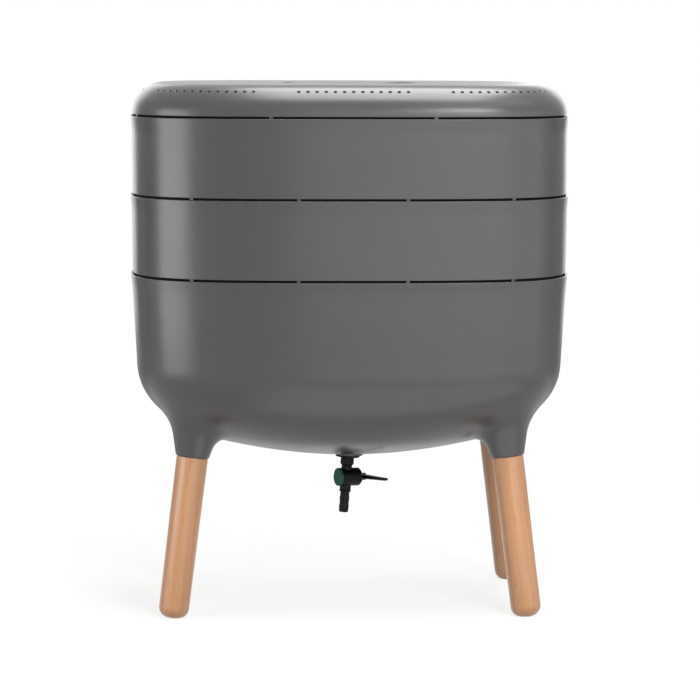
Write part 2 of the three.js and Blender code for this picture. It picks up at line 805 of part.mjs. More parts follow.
function plugSolid() {
  const groove = (middle) => [
    [plug.radius, middle - plug.grooveWidth / 2],
    [plug.grooveRadius, middle - plug.grooveWidth / 2],
    [plug.grooveRadius, middle + plug.grooveWidth / 2],
    [plug.radius, middle + plug.grooveWidth / 2],
  ];
  const body = turned(
    [
      [0, plugFrom],
      [plug.radius, plugFrom],
      ...sealPlaces.flatMap(groove),
      [plug.radius, plugTo],
      [plug.stemRadius, plugTo],
      [plug.stemRadius, stemEnd],
      [0, stemEnd],
    ],
    SMALL_STEPS,
  );
  // The cross bore lies level while the tap is shut, and the lever's quarter turn stands it upright.
  const cross = rod(tap.boreRadius, -2 * plug.radius, 2 * plug.radius, SMALL_STEPS).rotateX(Math.PI / 2);
  const screwBore = rod(
    leverScrew.radius + tap.clearance / 2,
    stemEnd - leverScrew.length - tap.clearance,
    stemEnd + OVERRUN,
    SMALL_STEPS,
  );
  return solid(body).subtract(joined([solid(cross), solid(screwBore)]));
}

function leverSolid() {
  const hub = rod(lever.hubRadius, leverFrom, leverFrom + lever.hubLength);
  const outline = new THREE.Shape([
    new THREE.Vector2(0, -lever.rootThickness / 2),
    new THREE.Vector2(lever.length, -lever.tipThickness / 2),
    new THREE.Vector2(lever.length, lever.tipThickness / 2),
    new THREE.Vector2(0, lever.rootThickness / 2),
  ]);
  // The arm reaches out towards the front from the hub, lifted a little, and its flats face up and down.
  const arm = new THREE.ExtrudeGeometry(outline, { depth: lever.width, bevelEnabled: false });
  arm.rotateZ(-Math.PI / 2).translate(0, 0, leverFrom);
  const tipRound = rod(lever.width / 2, -lever.tipThickness, lever.tipThickness, SMALL_STEPS)
    .rotateY(Math.PI / 2)
    .translate(0, -lever.length, leverFrom + lever.width / 2);
  const longerArm = arm.clone().translate(0, -lever.width / 2, 0);
  const lift = new THREE.Matrix4().makeRotationZ(-radians(lever.liftDeg));
  const roundedArm = placed(arm, lift).add(placed(tipRound, lift).intersect(placed(longerArm, lift)));
  const stemHole = rod(
    plug.stemRadius + tap.clearance / 2,
    leverFrom - OVERRUN,
    stemEnd + tap.clearance,
    SMALL_STEPS,
  );
  const screwHole = rod(
    leverScrew.radius + tap.clearance / 2,
    0,
    leverFrom + lever.hubLength + OVERRUN,
    SMALL_STEPS,
  );
  return solid(hub).add(roundedArm).subtract(joined([solid(stemHole), solid(screwHole)]));
}

function leverScrewSolid() {
  const seat = leverFrom + lever.hubLength;
  return turned(
    [
      [0, stemEnd - leverScrew.length],
      [leverScrew.radius, stemEnd - leverScrew.length],
      [leverScrew.radius, seat],
      [leverScrew.headRadius, seat],
      [leverScrew.headRadius, seat + leverScrew.headHeight / 2],
      [leverScrew.headRadius / 2, seat + leverScrew.headHeight],
      [0, seat + leverScrew.headHeight],
    ],
    SMALL_STEPS,
  );
}

function capGeometry() {
  const from = barrel.from - cap.thickness;
  return turned([
    [0, from],
    [barrel.radius - cap.edge, from],
    [barrel.radius, from + cap.edge],
    [barrel.radius, barrel.from],
    [0, barrel.from],
  ]);
}

function tailGeometry() {
  const top = -barrel.drop - barrel.radius - outlet.drop;
  const collarFoot = top - tap.clearance - tail.collarHeight;
  const barbRun = (tail.length - tail.collarHeight) / (tail.barbs + 1 / 2);
  const outline = [[tap.boreRadius, top + tail.spigot], [tap.boreRadius, top - tail.length]];
  outline.push([tail.rootRadius, top - tail.length]);
  for (let i = tail.barbs; i > 0; i -= 1) {
    const foot = top - tail.length + (tail.barbs - i) * barbRun;
    outline.push([tail.barbRadius, foot + barbRun * 0.75]);
    outline.push([tail.rootRadius, foot + barbRun]);
  }
  outline.push(
    [tail.rootRadius, collarFoot],
    [tail.collarRadius, collarFoot],
    [tail.collarRadius, collarFoot + tail.collarHeight],
    [tail.rootRadius, collarFoot + tail.collarHeight],
    [tail.rootRadius, top + tail.spigot],
  );
  return turnedRing(outline, SMALL_STEPS + SMALL_STEPS / 2);
}

const flatRing = (inner, outer, fromZ, toZ) =>
  turnedRing([[inner, fromZ], [outer, fromZ], [outer, toZ], [inner, toZ]]);

const nutFoot = padTop + gasket.thickness;
const nutTop = nutFoot + locknut.height;
const nutBore = thread.radius + tap.clearance;

function locknutSolid() {
  const bore = rod(nutBore, nutFoot - OVERRUN, nutTop + OVERRUN);
  return solid(rod(locknut.radius, nutFoot, nutTop, 6)).subtract(solid(bore));
}

// A plug seal fills its groove up to the plug's radius.
function sealGeometry(middle) {
  const innerRadius = plug.grooveRadius + tap.clearance / 3;
  const tubeRadius = (plug.radius - innerRadius) / 2;
  const ring = new THREE.TorusGeometry(innerRadius + tubeRadius, tubeRadius, 6, SMALL_STEPS);
  return ring.translate(0, 0, middle);
}

// Assembly

const wormery = new THREE.Group();

const tubGroup = new THREE.Group();
tubGroup.add(named("tub", tubSolid(), moulded));
const sieveMesh = named("sieve", sieveSolid(), moulded);
sieveMesh.position.z = sieveHeight;
tubGroup.add(sieveMesh);
wormery.add(tubGroup);

for (const { place, frame } of sides) {
  const legGroup = new THREE.Group();
  legGroup.applyMatrix4(frame.matrix);
  legGroup.add(named(`leg_${place}`, legSolid(frame), beech));
  legGroup.add(named(`leg_screw_${place}`, legScrewSolid(), steel));
  legGroup.add(named(`leg_seal_${place}`, legSealGeometry(), rubber));
  wormery.add(legGroup);
}

const stackOn = (name, made, height) => {
  const mesh = named(name, made, moulded);
  mesh.position.z = height;
  wormery.add(mesh);
};
const lowerShoulder = tubRim + GROOVE;
stackOn("lower_tray", traySolid(), lowerShoulder);
stackOn("upper_tray", traySolid(), lowerShoulder + trayPitch);
stackOn("lid", lidSolid(), lowerShoulder + 2 * trayPitch);

const tapGroup = new THREE.Group();
tapGroup.applyMatrix4(tapMatrix);
tapGroup.add(
  named("tap_body", tapBodySolid(), blackPlastic),
  named("tap_gasket_outer", flatRing(nutBore, gasket.radius, -gasket.thickness, 0), rubber),
  named("tap_gasket_inner", flatRing(nutBore, gasket.radius, padTop, nutFoot), rubber),
  named("tap_locknut", locknutSolid(), blackPlastic),
  named("tap_hose_tail", tailGeometry(), blackPlastic),
);
const axisGroup = new THREE.Group();
axisGroup.applyMatrix4(tapAxisMatrix);
axisGroup.add(
  named("tap_plug", plugSolid(), blackPlastic),
  named("tap_plug_seal_front", sealGeometry(sealPlaces[0]), rubber),
  named("tap_plug_seal_rear", sealGeometry(sealPlaces[1]), rubber),
  named("tap_end_cap", capGeometry(), greenPlastic),
  named("tap_lever", leverSolid(), blackPlastic),
  named("tap_lever_screw", leverScrewSolid(), steel),
);
tapGroup.add(axisGroup);
wormery.add(tapGroup);

export default wormery;
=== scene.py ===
"""A worm composter: a moulded tub on turned beech legs, two trays, a vented lid, a sieve and a drain tap.

Metres. +Z is up, the front faces -Y, and the origin is on the floor under the middle of the tub.
"""
import json
import math

import bpy
import numpy as np
from bpy.props import FloatProperty, FloatVectorProperty, IntProperty, PointerProperty
from bpy.types import Operator, Panel, PropertyGroup
from mathutils import Matrix, Vector


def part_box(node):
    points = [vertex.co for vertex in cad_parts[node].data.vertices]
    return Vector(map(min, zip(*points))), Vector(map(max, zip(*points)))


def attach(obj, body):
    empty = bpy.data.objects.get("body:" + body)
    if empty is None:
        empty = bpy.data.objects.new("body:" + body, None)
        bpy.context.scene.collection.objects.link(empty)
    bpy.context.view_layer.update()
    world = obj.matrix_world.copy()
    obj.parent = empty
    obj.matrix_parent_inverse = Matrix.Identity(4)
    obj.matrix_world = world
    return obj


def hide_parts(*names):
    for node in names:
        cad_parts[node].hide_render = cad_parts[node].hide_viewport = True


bl_info = {
    "name": "Worm composter",
    "version": (1, 0, 0),
    "blender": (4, 5, 0),
    "location": "View3D > Sidebar > Worm composter",
    "description": "Builds a worm composter around its packed frame",
    "category": "Add Mesh",
}

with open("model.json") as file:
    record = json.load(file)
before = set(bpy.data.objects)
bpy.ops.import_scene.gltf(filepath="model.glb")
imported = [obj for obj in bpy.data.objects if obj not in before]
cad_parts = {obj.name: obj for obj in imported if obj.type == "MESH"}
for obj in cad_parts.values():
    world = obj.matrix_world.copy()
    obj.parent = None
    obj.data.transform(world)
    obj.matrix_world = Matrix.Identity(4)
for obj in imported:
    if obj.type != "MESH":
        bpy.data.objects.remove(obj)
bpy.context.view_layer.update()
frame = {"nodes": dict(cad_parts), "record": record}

MM = 0.001
SIDES = {
    "front_left": (-1, -1),
    "front_right": (1, -1),
    "rear_left": (-1, 1),
    "rear_right": (1, 1),
}
RIM_LOW, RIM_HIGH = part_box("upper_tray")
LID_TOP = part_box("lid")[1].z
TUB_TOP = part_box("tub")[1].z


def length(name, size, description):
    """A length property. Its default is given in millimetres."""
    return FloatProperty(
        name=name, description=description, default=size * MM, precision=5, unit="LENGTH"
    )


def number(name, size, description):
    return FloatProperty(name=name, description=description, default=size, precision=3)


def count(name, size, description):
    return IntProperty(name=name, description=description, default=size, min=1)


def angle(name, degrees, description):
    return FloatProperty(
        name=name, description=description, default=math.radians(degrees), unit="ROTATION"
    )


def colour(name, value, description):
    """A colour property. Its default is given as display values."""
    linear = [c / 12.92 if c <= 0.04045 else ((c + 0.055) / 1.055) ** 2.4 for c in value]
    return FloatVectorProperty(
        name=name, description=description, default=linear, size=3, min=0, max=1, subtype="COLOR"
    )


# Sizes


class RimSizes(PropertyGroup):
    """Sizes that the tub, the trays and the lid share."""

    width: length("Width", (RIM_HIGH.x - RIM_LOW.x) / MM, "Width of the rims")
    depth: length("Depth", (RIM_HIGH.y - RIM_LOW.y) / MM, "Depth of the rims, front to back")
    power: number("Squareness", 3.4, "Power of the oval plan: 2 is an ellipse")
    wall: length("Wall", 3, "Thickness of the moulded walls")
    groove: length("Groove", 2.5, "Open groove between two stacked pieces")
    skirt_inset: length("Skirt inset", 4.8, "How far a nesting skirt stands in from the rims")
    low_inset: length("Lip foot inset", 1.8, "How far a wall stands in where its lip begins")
    lip_inset: length("Lip inset", 1.4, "How far a wall stands in halfway up its lip")
    lip_height: length("Lip height", 16, "Height of the flared lip")
    edge: length("Edge round", 0.7, "Radius of the moulded edges")
    # Painted shade: how dark the pieces are painted inside a groove.
    groove_shade: number("Groove shade", 0.9, "How dark the pieces are inside a groove")
    steps: count("Steps around", 288, "Points around the plan")


class TubSizes(PropertyGroup):
    """The tub's shell, bowl and ribs."""

    belly: length("Belly height", 184, "Height of the underside over the floor")
    rim: length("Rim height", TUB_TOP / MM, "Height of the rim over the floor")
    bowl_rise: length("Bowl rise", 29, "Height of the shallow bowl")
    bowl_inset_x: length("Bowl side inset", 78, "How far the bowl ends inside the rim, at the sides")
    bowl_inset_y: length("Bowl front inset", 58.5, "How far the bowl ends inside the rim, at the front")
    # Painted shade: the bowl's lowest part, up to this height, is painted dark and made duller, by the
    # second amount.
    painted_underside_height: length("Matt underside", 4.8, "Height of the bowl's dark, matt lowest part")
    painted_underside_shade: number("Matt shade", 0.55, "How dark the bowl's lowest part is")
    bowl_power: number("Bowl squareness", 2.2, "Power of the bowl's oval plan")
    bowl_curve: number("Bowl curve", 1.85, "How slowly the bowl rises from its middle")
    turn_height: length("Turn height", 97, "Height of the turn from the bowl to the wall")
    turn_inset: length("Turn inset", 6.8, "How far the wall stands in at the top of the turn")
    turn_curve: number("Turn curve", 2.42, "How tightly the turn closes into the wall")
    bowl_rows: count("Bowl rows", 26, "Rows of points up the bowl")
    turn_rows: count("Turn rows", 34, "Rows of points up the turn")
    wall_rows: count("Wall rows", 20, "Rows of points up the wall")
    softening: count("Softening", 7, "Smoothing passes where the bowl meets the turn")
    rib_thickness: length("Rib thickness", 4, "Thickness of the ribs that carry the sieve")
    rib_reach: length("Rib reach", 15, "How far the ribs stand out from the wall")
    rib_spread_x: length("Rib spread, sides", 220, "Distance between ribs along the front")
    rib_spread_y: length("Rib spread, ends", 100, "Distance between ribs along the sides")


class BootSizes(PropertyGroup):
    """The boots that hold the legs, and the sockets in them."""

    end_height: length("End height", 194, "Height of the boots' ends over the floor")
    inset_x: length("Side inset", 76.4, "How far the boots' ends are inside the rim, at the sides")
    inset_y: length("Front inset", 90, "How far the boots' ends are inside the rim, at the front")
    end_radius: length("End radius", 20.2, "Radius of a boot's end")
    flare: angle("Flare", 14.5, "How much a boot widens upward")
    blend: length("Blend", 20, "Reach of the soft blend into the tub")
    sideways: angle("Sideways splay", 6.95, "Lean of the legs outward")
    lengthwise: angle("Lengthwise splay", 4.8, "Lean of the legs to the front and back")
    socket_radius: length("Socket radius", 15.4, "Radius of the socket for a leg")
    socket_depth: length("Socket depth", 44, "Depth of the socket for a leg")
    socket_wall: length("Socket wall", 3.5, "Wall around a socket inside the tub")
    socket_roof: length("Socket roof", 10, "Plastic over a socket")
    screw_hole: length("Screw hole radius", 3.6, "Radius of the screw hole over a socket")
    columns: count("Columns", 120, "Points around a boot")
    rows: count("Rows", 44, "Rows of points down a boot")


class TraySizes(PropertyGroup):
    """The two stacking trays."""

    wall_height: length("Wall height", 93.5, "Height of a tray's wall")
    wall_inset: length("Wall inset", 2.3, "How far the foot of the wall stands in from the rim")
    skirt_drop: length("Skirt drop", 22, "How far the skirt nests into the piece below")
    skirt_draft: length("Skirt draft", 1, "How much the skirt narrows downward")
    corner: length("Floor corner", 5, "Radius where the skirt turns into the floor")
    floor: length("Floor", 3, "Thickness of the floor")
    hole_radius: length("Hole radius", 4, "Radius of the floor holes")
    hole_pitch: length("Hole pitch", 30, "Distance between the floor holes")
    hole_margin: length("Hole margin", 22, "Plain border of the floor")
    tab_count: count("Tabs", 12, "Spacer tabs in the groove under a tray")
    tab_width: length("Tab width", 4.5, "Width of a spacer tab")
    tab_inset: length("Tab inset", 0.4, "How far a tab stands in from the wall")
    tab_reach: length("Tab reach", 5, "How far a tab reaches inward")


class LidSizes(PropertyGroup):
    """The lid, its vents and its finger well."""

    edge_inset: length("Edge inset", 1.5, "How far the lid's edge stands in from the rim")
    round: length("Round", 37, "Radius of the lid's rounded shoulder")
    collar_drop: length("Collar drop", 14, "How far the collar nests into the tray")
    collar: length("Collar thickness", 2.5, "Thickness of the collar")
    tab_count: count("Tabs", 8, "Spacer tabs in the groove under the lid")
    vent_groups: count("Vent groups", 8, "Groups of vent holes")
    vents: count("Vents", 13, "Vent holes in a group")
    vent_pitch: length("Vent pitch", 10.7, "Distance between vent holes")
    vent_radius: length("Vent radius", 1.5, "Radius of a vent hole")
    vent_tilt: angle("Vent tilt", 51.5, "How high on the rounded shoulder the vents are")
    well_half_width: length("Well half width", 84, "Half the width of the finger well")
    well_half_depth: length("Well half depth", 47, "Half the depth of the finger well, front to back")
    well_depth: length("Well depth", 17, "How deep the finger well is")
    well_power: number("Well squareness", 3, "Power of the finger well's oval plan")
    well_draft: length("Well draft", 7, "How much the finger well narrows downward")
    well_round: length("Well round", 3, "Radius of the finger well's brim")
    bar: length("Bar thickness", 13, "Thickness of the grip bar across the finger well")
    bar_draft: length("Bar draft", 2, "How much the grip bar widens downward on each side")
    bar_below: length("Bar below top", 3, "How far the grip bar ends below the lid's top")


class LegSizes(PropertyGroup):
    """The turned legs."""

    gap: length("Gap", 0.3, "Open line between a leg and its boot")
    top_radius: length("Top radius", 19, "Radius of a leg at its boot")
    foot_radius: length("Foot radius", 18.3, "Radius of a leg at its foot")
    tenon_radius: length("Tenon radius", 15, "Radius of the tenon in the socket")
    foot_round: length("Foot round", 13, "Radius of a foot's edge")
    press: length("Press", 0.8, "How much of a foot the floor cuts off")
    shoulder: length("Shoulder round", 0.8, "Radius of a leg's upper edge")


class SieveSizes(PropertyGroup):
    """The slotted sieve over the sump."""

    above_belly: length("Above belly", 78, "Height of the sieve's rim over the tub's underside")
    plate: length("Plate", 3, "Thickness of the perforated plate")
    rim_height: length("Rim height", 11, "Height of the sieve's rim")
    slot_length: length("Slot length", 46, "Length of a slot")
    slot_width: length("Slot width", 5, "Width of a slot")
    pitch_x: length("Slot pitch, sideways", 82, "Distance between slots in a row")
    pitch_y: length("Slot pitch, front to back", 14, "Distance between rows of slots")
    margin: length("Margin", 16, "Plain border of the plate")


class TapSizes(PropertyGroup):
    """The drain tap and the pad that it hangs from."""

    lean: angle("Lean", 4, "Lean of the tap sideways")
    turn: angle("Turn", 27.4, "Turn of the barrel from left-to-right towards the back")
    clearance: length("Clearance", 0.3, "Gap between moving pieces")
    bore: length("Bore radius", 4, "Radius of the flow bore")
    pad_radius: length("Pad radius", 19, "Radius of the drain pad")
    pad_drop: length("Pad drop", 2.5, "How far the drain pad stands below the belly")
    pad_above: length("Pad above floor", 3.5, "How far the pad stands over the tub's floor")
    pad_hole: length("Pad hole radius", 10.8, "Radius of the drain hole")
    gasket: length("Gasket", 1.2, "Thickness of the gaskets")
    flange_radius: length("Flange radius", 15.2, "Radius of the flange")
    flange: length("Flange", 1.8, "Thickness of the flange")
    thread_radius: length("Thread radius", 10.4, "Radius of the threaded inlet")
    above_nut: length("Above nut", 3, "How far the thread shows over its nut")
    neck_top: length("Neck top radius", 7.6, "Radius of the neck under the flange")
    neck_bulge: length("Neck bulge radius", 8.4, "Radius of the neck's bulge")
    neck_foot: length("Neck foot radius", 6.6, "Radius of the neck over the barrel")
    drop: length("Barrel drop", 29, "How far the barrel's axis is below the pad")
    barrel_radius: length("Barrel radius", 11.3, "Radius of the barrel")
    barrel_cap_end: length(
        "Barrel cap end", -9.6, "Where the barrel ends at its cap, from the neck's axis"
    )
    barrel_lever_end: length("Barrel lever end", 20.2, "Where the barrel ends at its lever")
    chamfer: length("Barrel chamfer", 3.6, "Chamfer of the barrel's lever end")
    end_wall: length("End wall", 3, "Wall at the barrel's lever end")
    outlet_radius: length("Outlet radius", 7, "Radius of the outlet under the barrel")
    outlet_drop: length("Outlet drop", 5, "How far the outlet stands below the barrel")
    tail_length: length("Tail length", 28, "Length of the hose tail")
    collar_radius: length("Collar radius", 7.5, "Radius of the tail's collar")
    collar_height: length("Collar height", 1.6, "Height of the tail's collar")
    root_radius: length("Root radius", 5.7, "Radius of the tail between its barbs")
    barb_radius: length("Barb radius", 6.2, "Radius of the tail's barbs")
    barbs: count("Barbs", 2, "Barbs on the tail")
    spigot: length("Spigot", 3, "How far the tail plugs into the outlet")
    cap: length("Cap thickness", 2.4, "Thickness of the end cap")
    cap_edge: length("Cap edge", 0.8, "Radius of the end cap's edge")
    plug_radius: length("Plug radius", 6.3, "Radius of the turning plug")
    stem_radius: length("Stem radius", 3, "Radius of the plug's stem")
    stem_reach: length("Stem reach", 5.5, "How far the stem reaches into the lever")
    lever: length("Lever length", 56, "Length of the lever's arm")
    lever_width: length("Lever width", 7, "Width of the lever's arm")
    lever_root: length("Lever root", 6.2, "Thickness of the arm at its hub")
    lever_tip: length("Lever tip", 3.4, "Thickness of the arm at its tip")
    lever_lift: angle("Lever lift", 6.7, "How much the arm is lifted towards its tip")
    hub_radius: length("Hub radius", 4.6, "Radius of the lever's hub")
    hub_length: length("Hub length", 7, "Length of the lever's hub")
    screw_radius: length("Screw radius", 1.4, "Radius of the lever's screw")
    screw_length: length("Screw length", 6, "Length of the lever's screw in the stem")
    screw_head: length("Screw head radius", 2.8, "Radius of the screw's head")
    screw_head_height: length("Screw head height", 1.6, "Height of the screw's head")
    nut_radius: length("Nut radius", 16, "Radius of the locknut over its corners")
    nut_height: length("Nut height", 6, "Height of the locknut")


class Finishes(PropertyGroup):
    """The colours."""

    plastic: colour("Moulded plastic", (0.225, 0.2155, 0.2235), "Colour of the tub, trays and lid")
    wood: colour("Beech", (0.70, 0.51, 0.342), "Colour of the legs' wood")
    wood_dark: colour("Beech grain", (0.605, 0.405, 0.252), "Colour of the late wood")
    wood_fleck: colour("Beech fleck", (0.5, 0.31, 0.2), "Colour of the wood's short flecks")
    black: colour("Tap black", (0.04, 0.045, 0.047), "Colour of the tap")
    green: colour("Tap green", (0.13, 0.34, 0.26), "Colour of the tap's end cap")
    rubber: colour("Rubber", (0.1, 0.1, 0.1), "Colour of the seals")
    steel: colour("Steel", (0.72, 0.73, 0.75), "Colour of the screws")


class StageSizes(PropertyGroup):
    """The camera, the lights and the room."""

    lens: length("Focal length", 132.12, "Focal length of the camera on a 36 mm sensor")
    shift: number("Picture shift", -0.1, "How far the picture is shifted up, as a share of its width")
    eye_x: length("Camera right", -106.92, "Place of the camera, to the right")
    eye_y: length("Camera back", -3177.82, "Place of the camera, to the back")
    eye_z: length("Camera height", 704.78, "Height of the camera over the floor")
    pan: angle("Camera pan", 1.965818, "Turn of the camera to the right")
    pitch: angle("Camera pitch", 5.474039, "Tilt of the camera downward")
    roll: angle("Camera roll", 0.1822, "Roll of the camera")
    overhead: number("Overhead light", 6.5, "Brightness of the softbox overhead; 1 is white")
    strip: number("Left strip", 3, "Brightness of the upright softbox at the left")
    front: number("Right front light", 8, "Brightness of the softbox at the front right")
    side: number("Right side light", 0.97, "Brightness of the broad panels at the right")
    fill: number("Left fill", 1.6, "Brightness of the low lamp at the left, which gloss doesn't show")
    rim: number("Rim lights", 1.2, "Brightness of the two panels behind the object")
    ambient: number("Ambient", 0.1, "Brightness of the room, apart from what gloss shows of it")
    shadow: number("Floor shadow", 0.2, "How much of the shadow on the floor shows")


SETTINGS = {
    "worm_rims": RimSizes,
    "worm_tub": TubSizes,
    "worm_boots": BootSizes,
    "worm_trays": TraySizes,
    "worm_lid": LidSizes,
    "worm_legs": LegSizes,
    "worm_sieve": SieveSizes,
    "worm_tap": TapSizes,
    "worm_finishes": Finishes,
    "worm_stage": StageSizes,
}


# Closed forms

SHARP_ANGLE = math.radians(38)
NEARLY_STRAIGHT = math.radians(89.5)
ROOM_SHARE = 0.995
TINY = 1e-9
LEAST_FACES = 4
CORNER_POINTS = 5
EDGE_ARCS = 3


class Form:
    """Points and faces of a closed mesh, before it becomes a Blender mesh."""

    def __init__(self, points, faces):
        self.points = np.asarray(points, float).reshape(-1, 3)
        self.faces = [tuple(int(i) for i in face) for face in faces]

    def moved(self, matrix):
        turn = np.array(matrix.to_3x3())
        return Form(self.points @ turn.T + np.array(matrix.translation), self.faces)

    def copies(self, matrices):
        return combined([self.moved(matrix) for matrix in matrices])

    def mirrored(self, side_x, side_y):
        faces = self.faces if side_x * side_y > 0 else [face[::-1] for face in self.faces]
        return Form(self.points * (side_x, side_y, 1), faces)

    def mesh(self, name, hollow=False):
        """The mesh, with soft normals kept on its corners. A hollow is a cutter, so its own are reversed."""
        mesh = bpy.data.meshes.new(name)
        mesh.from_pydata(self.points.tolist(), [], self.faces)
        mesh.shade_smooth()
        mesh.set_sharp_from_angle(angle=SHARP_ANGLE)
        piece = bpy.data.objects.new(name, mesh)
        bpy.context.scene.collection.objects.link(piece)
        soften = piece.modifiers.new("soften", "WEIGHTED_NORMAL")
        soften.mode, soften.keep_sharp = "FACE_AREA", True
        shown = piece.evaluated_get(bpy.context.evaluated_depsgraph_get())
        normals = np.zeros(3 * len(mesh.loops), np.float32)
        shown.data.corner_normals.foreach_get("vector", normals)
        bpy.data.objects.remove(piece)
        soft = mesh.attributes.new("soft", "FLOAT_VECTOR", "CORNER")
        soft.data.foreach_set("vector", -normals if hollow else normals)
        return mesh


def combined(forms):
    """Several forms as one."""
    faces, first = [], 0
    for form in forms:
        faces += [tuple(i + first for i in face) for face in form.faces]
        first += len(form.points)
    return Form(np.concatenate([form.points for form in forms]), faces)


def as_mesh(solid, name, hollow=False):
    return solid.mesh(name, hollow) if isinstance(solid, Form) else solid


def carve(name, base, joins=(), cuts=(), within=()):
    """Joins, cuts and trims forms or meshes. Every face that is left keeps the soft normals that it had."""
    steps = [("UNION", as_mesh(solid, "join")) for solid in joins]
    steps += [("DIFFERENCE", as_mesh(solid, "cut", True)) for solid in cuts]
    steps += [("INTERSECT", as_mesh(solid, "within")) for solid in within]
    helpers = []
    for mesh in [as_mesh(base, name), *(mesh for _, mesh in steps)]:
        helper = bpy.data.objects.new(mesh.name, mesh)
        bpy.context.scene.collection.objects.link(helper)
        helpers.append(helper)
    for helper, (operation, _) in zip(helpers[1:], steps):
        step = helpers[0].modifiers.new(helper.name, "BOOLEAN")
        step.solver, step.object, step.operation = "MANIFOLD", helper, operation
    shown = helpers[0].evaluated_get(bpy.context.evaluated_depsgraph_get())
    made = bpy.data.meshes.new_from_object(shown)
    made.name = name
    for helper in helpers:
        bpy.data.objects.remove(helper)
    if len(made.polygons) < LEAST_FACES:
        raise RuntimeError(f"{name} was cut away")
    return made


def soft_normals(mesh):
    normals = np.zeros(3 * len(mesh.loops), np.float32)
    mesh.attributes["soft"].data.foreach_get("vector", normals)
    return normals.reshape(-1, 3)


def settle(mesh):
    """Turns the kept soft normals into the mesh's own."""
    normals = soft_normals(mesh)
    mesh.attributes.remove(mesh.attributes["soft"])
    mesh.shade_smooth()
    mesh.normals_split_custom_set(normals.tolist())
    return mesh


def shift(mesh, matrix):
    """Moves a mesh that was cut already, and turns its kept soft normals with it."""
    mesh.transform(matrix)
    turned_normals = soft_normals(mesh) @ np.array(matrix.to_3x3()).T
    mesh.attributes["soft"].data.foreach_set("vector", turned_normals.astype(np.float32).ravel())
    return mesh


def mark_painted_shade(mesh, height, depth):
    """Marks the outward faces under a height for painted shade, by how dark that painted shade is."""
    # Painted shade: the marked corners are later painted near black and dull, standing in for shade.
    painted_shade = mesh.attributes.new("painted_shade", "FLOAT", "CORNER")
    for face in mesh.polygons:
        outward = face.normal.x * face.center.x + face.normal.y * face.center.y > 0
        if outward and face.center.z < height:
            for corner in face.loop_indices:
                painted_shade.data[corner].value = depth
    return mesh


def place(name, solid, body, slot, stands_for, matrix=None):
    """Puts a finished form or mesh in the scene as a piece that rides on a body and replaces a node."""
    piece = bpy.data.objects.new(name, settle(as_mesh(solid, name)))
    bpy.context.scene.collection.objects.link(piece)
    if matrix is not None:
        piece.matrix_world = matrix
    piece.data.materials.clear()
    piece.data.materials.append(finish_material(slot))
    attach(piece, body)
    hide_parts(stands_for)


def once_around(steps):
    return np.linspace(0, 2 * math.pi, steps, endpoint=False)


def oval(half_width, half_depth, power, angles):
    """Flat points of an oval between an ellipse, at power 2, and a rectangle."""
    cosine, sine = np.cos(angles), np.sin(angles)
    x = half_width * np.sign(cosine) * np.abs(cosine) ** (2 / power)
    y = half_depth * np.sign(sine) * np.abs(sine) ** (2 / power)
    return np.column_stack([x, y])


def level(flat, z):
    return np.column_stack([flat, np.full(len(flat), z)])


def loft(rings, start=None, end=None):
    """A skin over rings of equally many points, closed by a fan to a start and to an end point."""
    steps = len(rings[0])
    points, faces = [np.asarray(ring, float) for ring in rings], []
    last = (len(rings) - 1) * steps
    for low in range(0, last, steps):
        for j in range(steps):
            k = (j + 1) % steps
            faces.append((low + j, low + k, low + steps + k, low + steps + j))
    tip = last + steps
    if start is not None:
        points.append([start])
        faces += [(tip, (j + 1) % steps, j) for j in range(steps)]
        tip += 1
    if end is not None:
        points.append([end])
        faces += [(tip, last + j, last + (j + 1) % steps) for j in range(steps)]
    return Form(np.concatenate(points), faces)


def closed(rings, low, high):
    """A loft that is closed at two heights on the Z axis."""
    return loft(rings, (0, 0, low), (0, 0, high))


def rounded(outline, arcs=5):
    """Points of an open outline of (across, up, radius) corners, with an arc where a radius is given."""
    corners = [np.array(corner[:2], float) for corner in outline]
    halves, setbacks, room = ([start] * len(corners) for start in (math.pi / 2, 0.0, 1.0))
    for i in range(1, len(corners) - 1):
        back, on = corners[i - 1] - corners[i], corners[i + 1] - corners[i]
        halves[i] = math.acos(np.clip(back @ on / np.hypot(*back) / np.hypot(*on), -1, 1)) / 2
        if len(outline[i]) > 2 and halves[i] < NEARLY_STRAIGHT:
            setbacks[i] = outline[i][2] / math.tan(halves[i])
    for i in range(len(corners) - 1):
        need = setbacks[i] + setbacks[i + 1]
        share = ROOM_SHARE * np.hypot(*(corners[i + 1] - corners[i])) / max(need, TINY)
        room[i], room[i + 1] = min(room[i], share), min(room[i + 1], share)
    made = []
    for i, corner in enumerate(corners):
        if setbacks[i] == 0:
            made.append(corner)
            continue
        ways = corners[i - 1] - corner, corners[i + 1] - corner
        back, on = (way / np.hypot(*way) for way in ways)
        setback = setbacks[i] * room[i]
        radius = setback * math.tan(halves[i])
        middle = back + on
        centre = corner + middle / np.hypot(*middle) * radius / math.sin(halves[i])
        first, last = corner + back * setback - centre, corner + on * setback - centre
        sweep = math.pi - 2 * halves[i]
        for share in np.linspace(0, 1, arcs + 1):
            parts = math.sin((1 - share) * sweep), math.sin(share * sweep)
            made.append(centre + (first * parts[0] + last * parts[1]) / math.sin(sweep))
    return made


def circles(points, steps):
    """Rings about the Z axis at the given radii and heights."""
    turns = once_around(steps)
    circle = np.column_stack([np.cos(turns), np.sin(turns)])
    return [level(circle * radius, z) for radius, z in points]


def turned(outline, steps=64, arcs=4):
    """A lathe about Z of an open outline that runs up the outside from the axis to the axis."""
    points = rounded(outline, arcs)
    return closed(circles(points[1:-1], steps), points[0][1], points[-1][1])


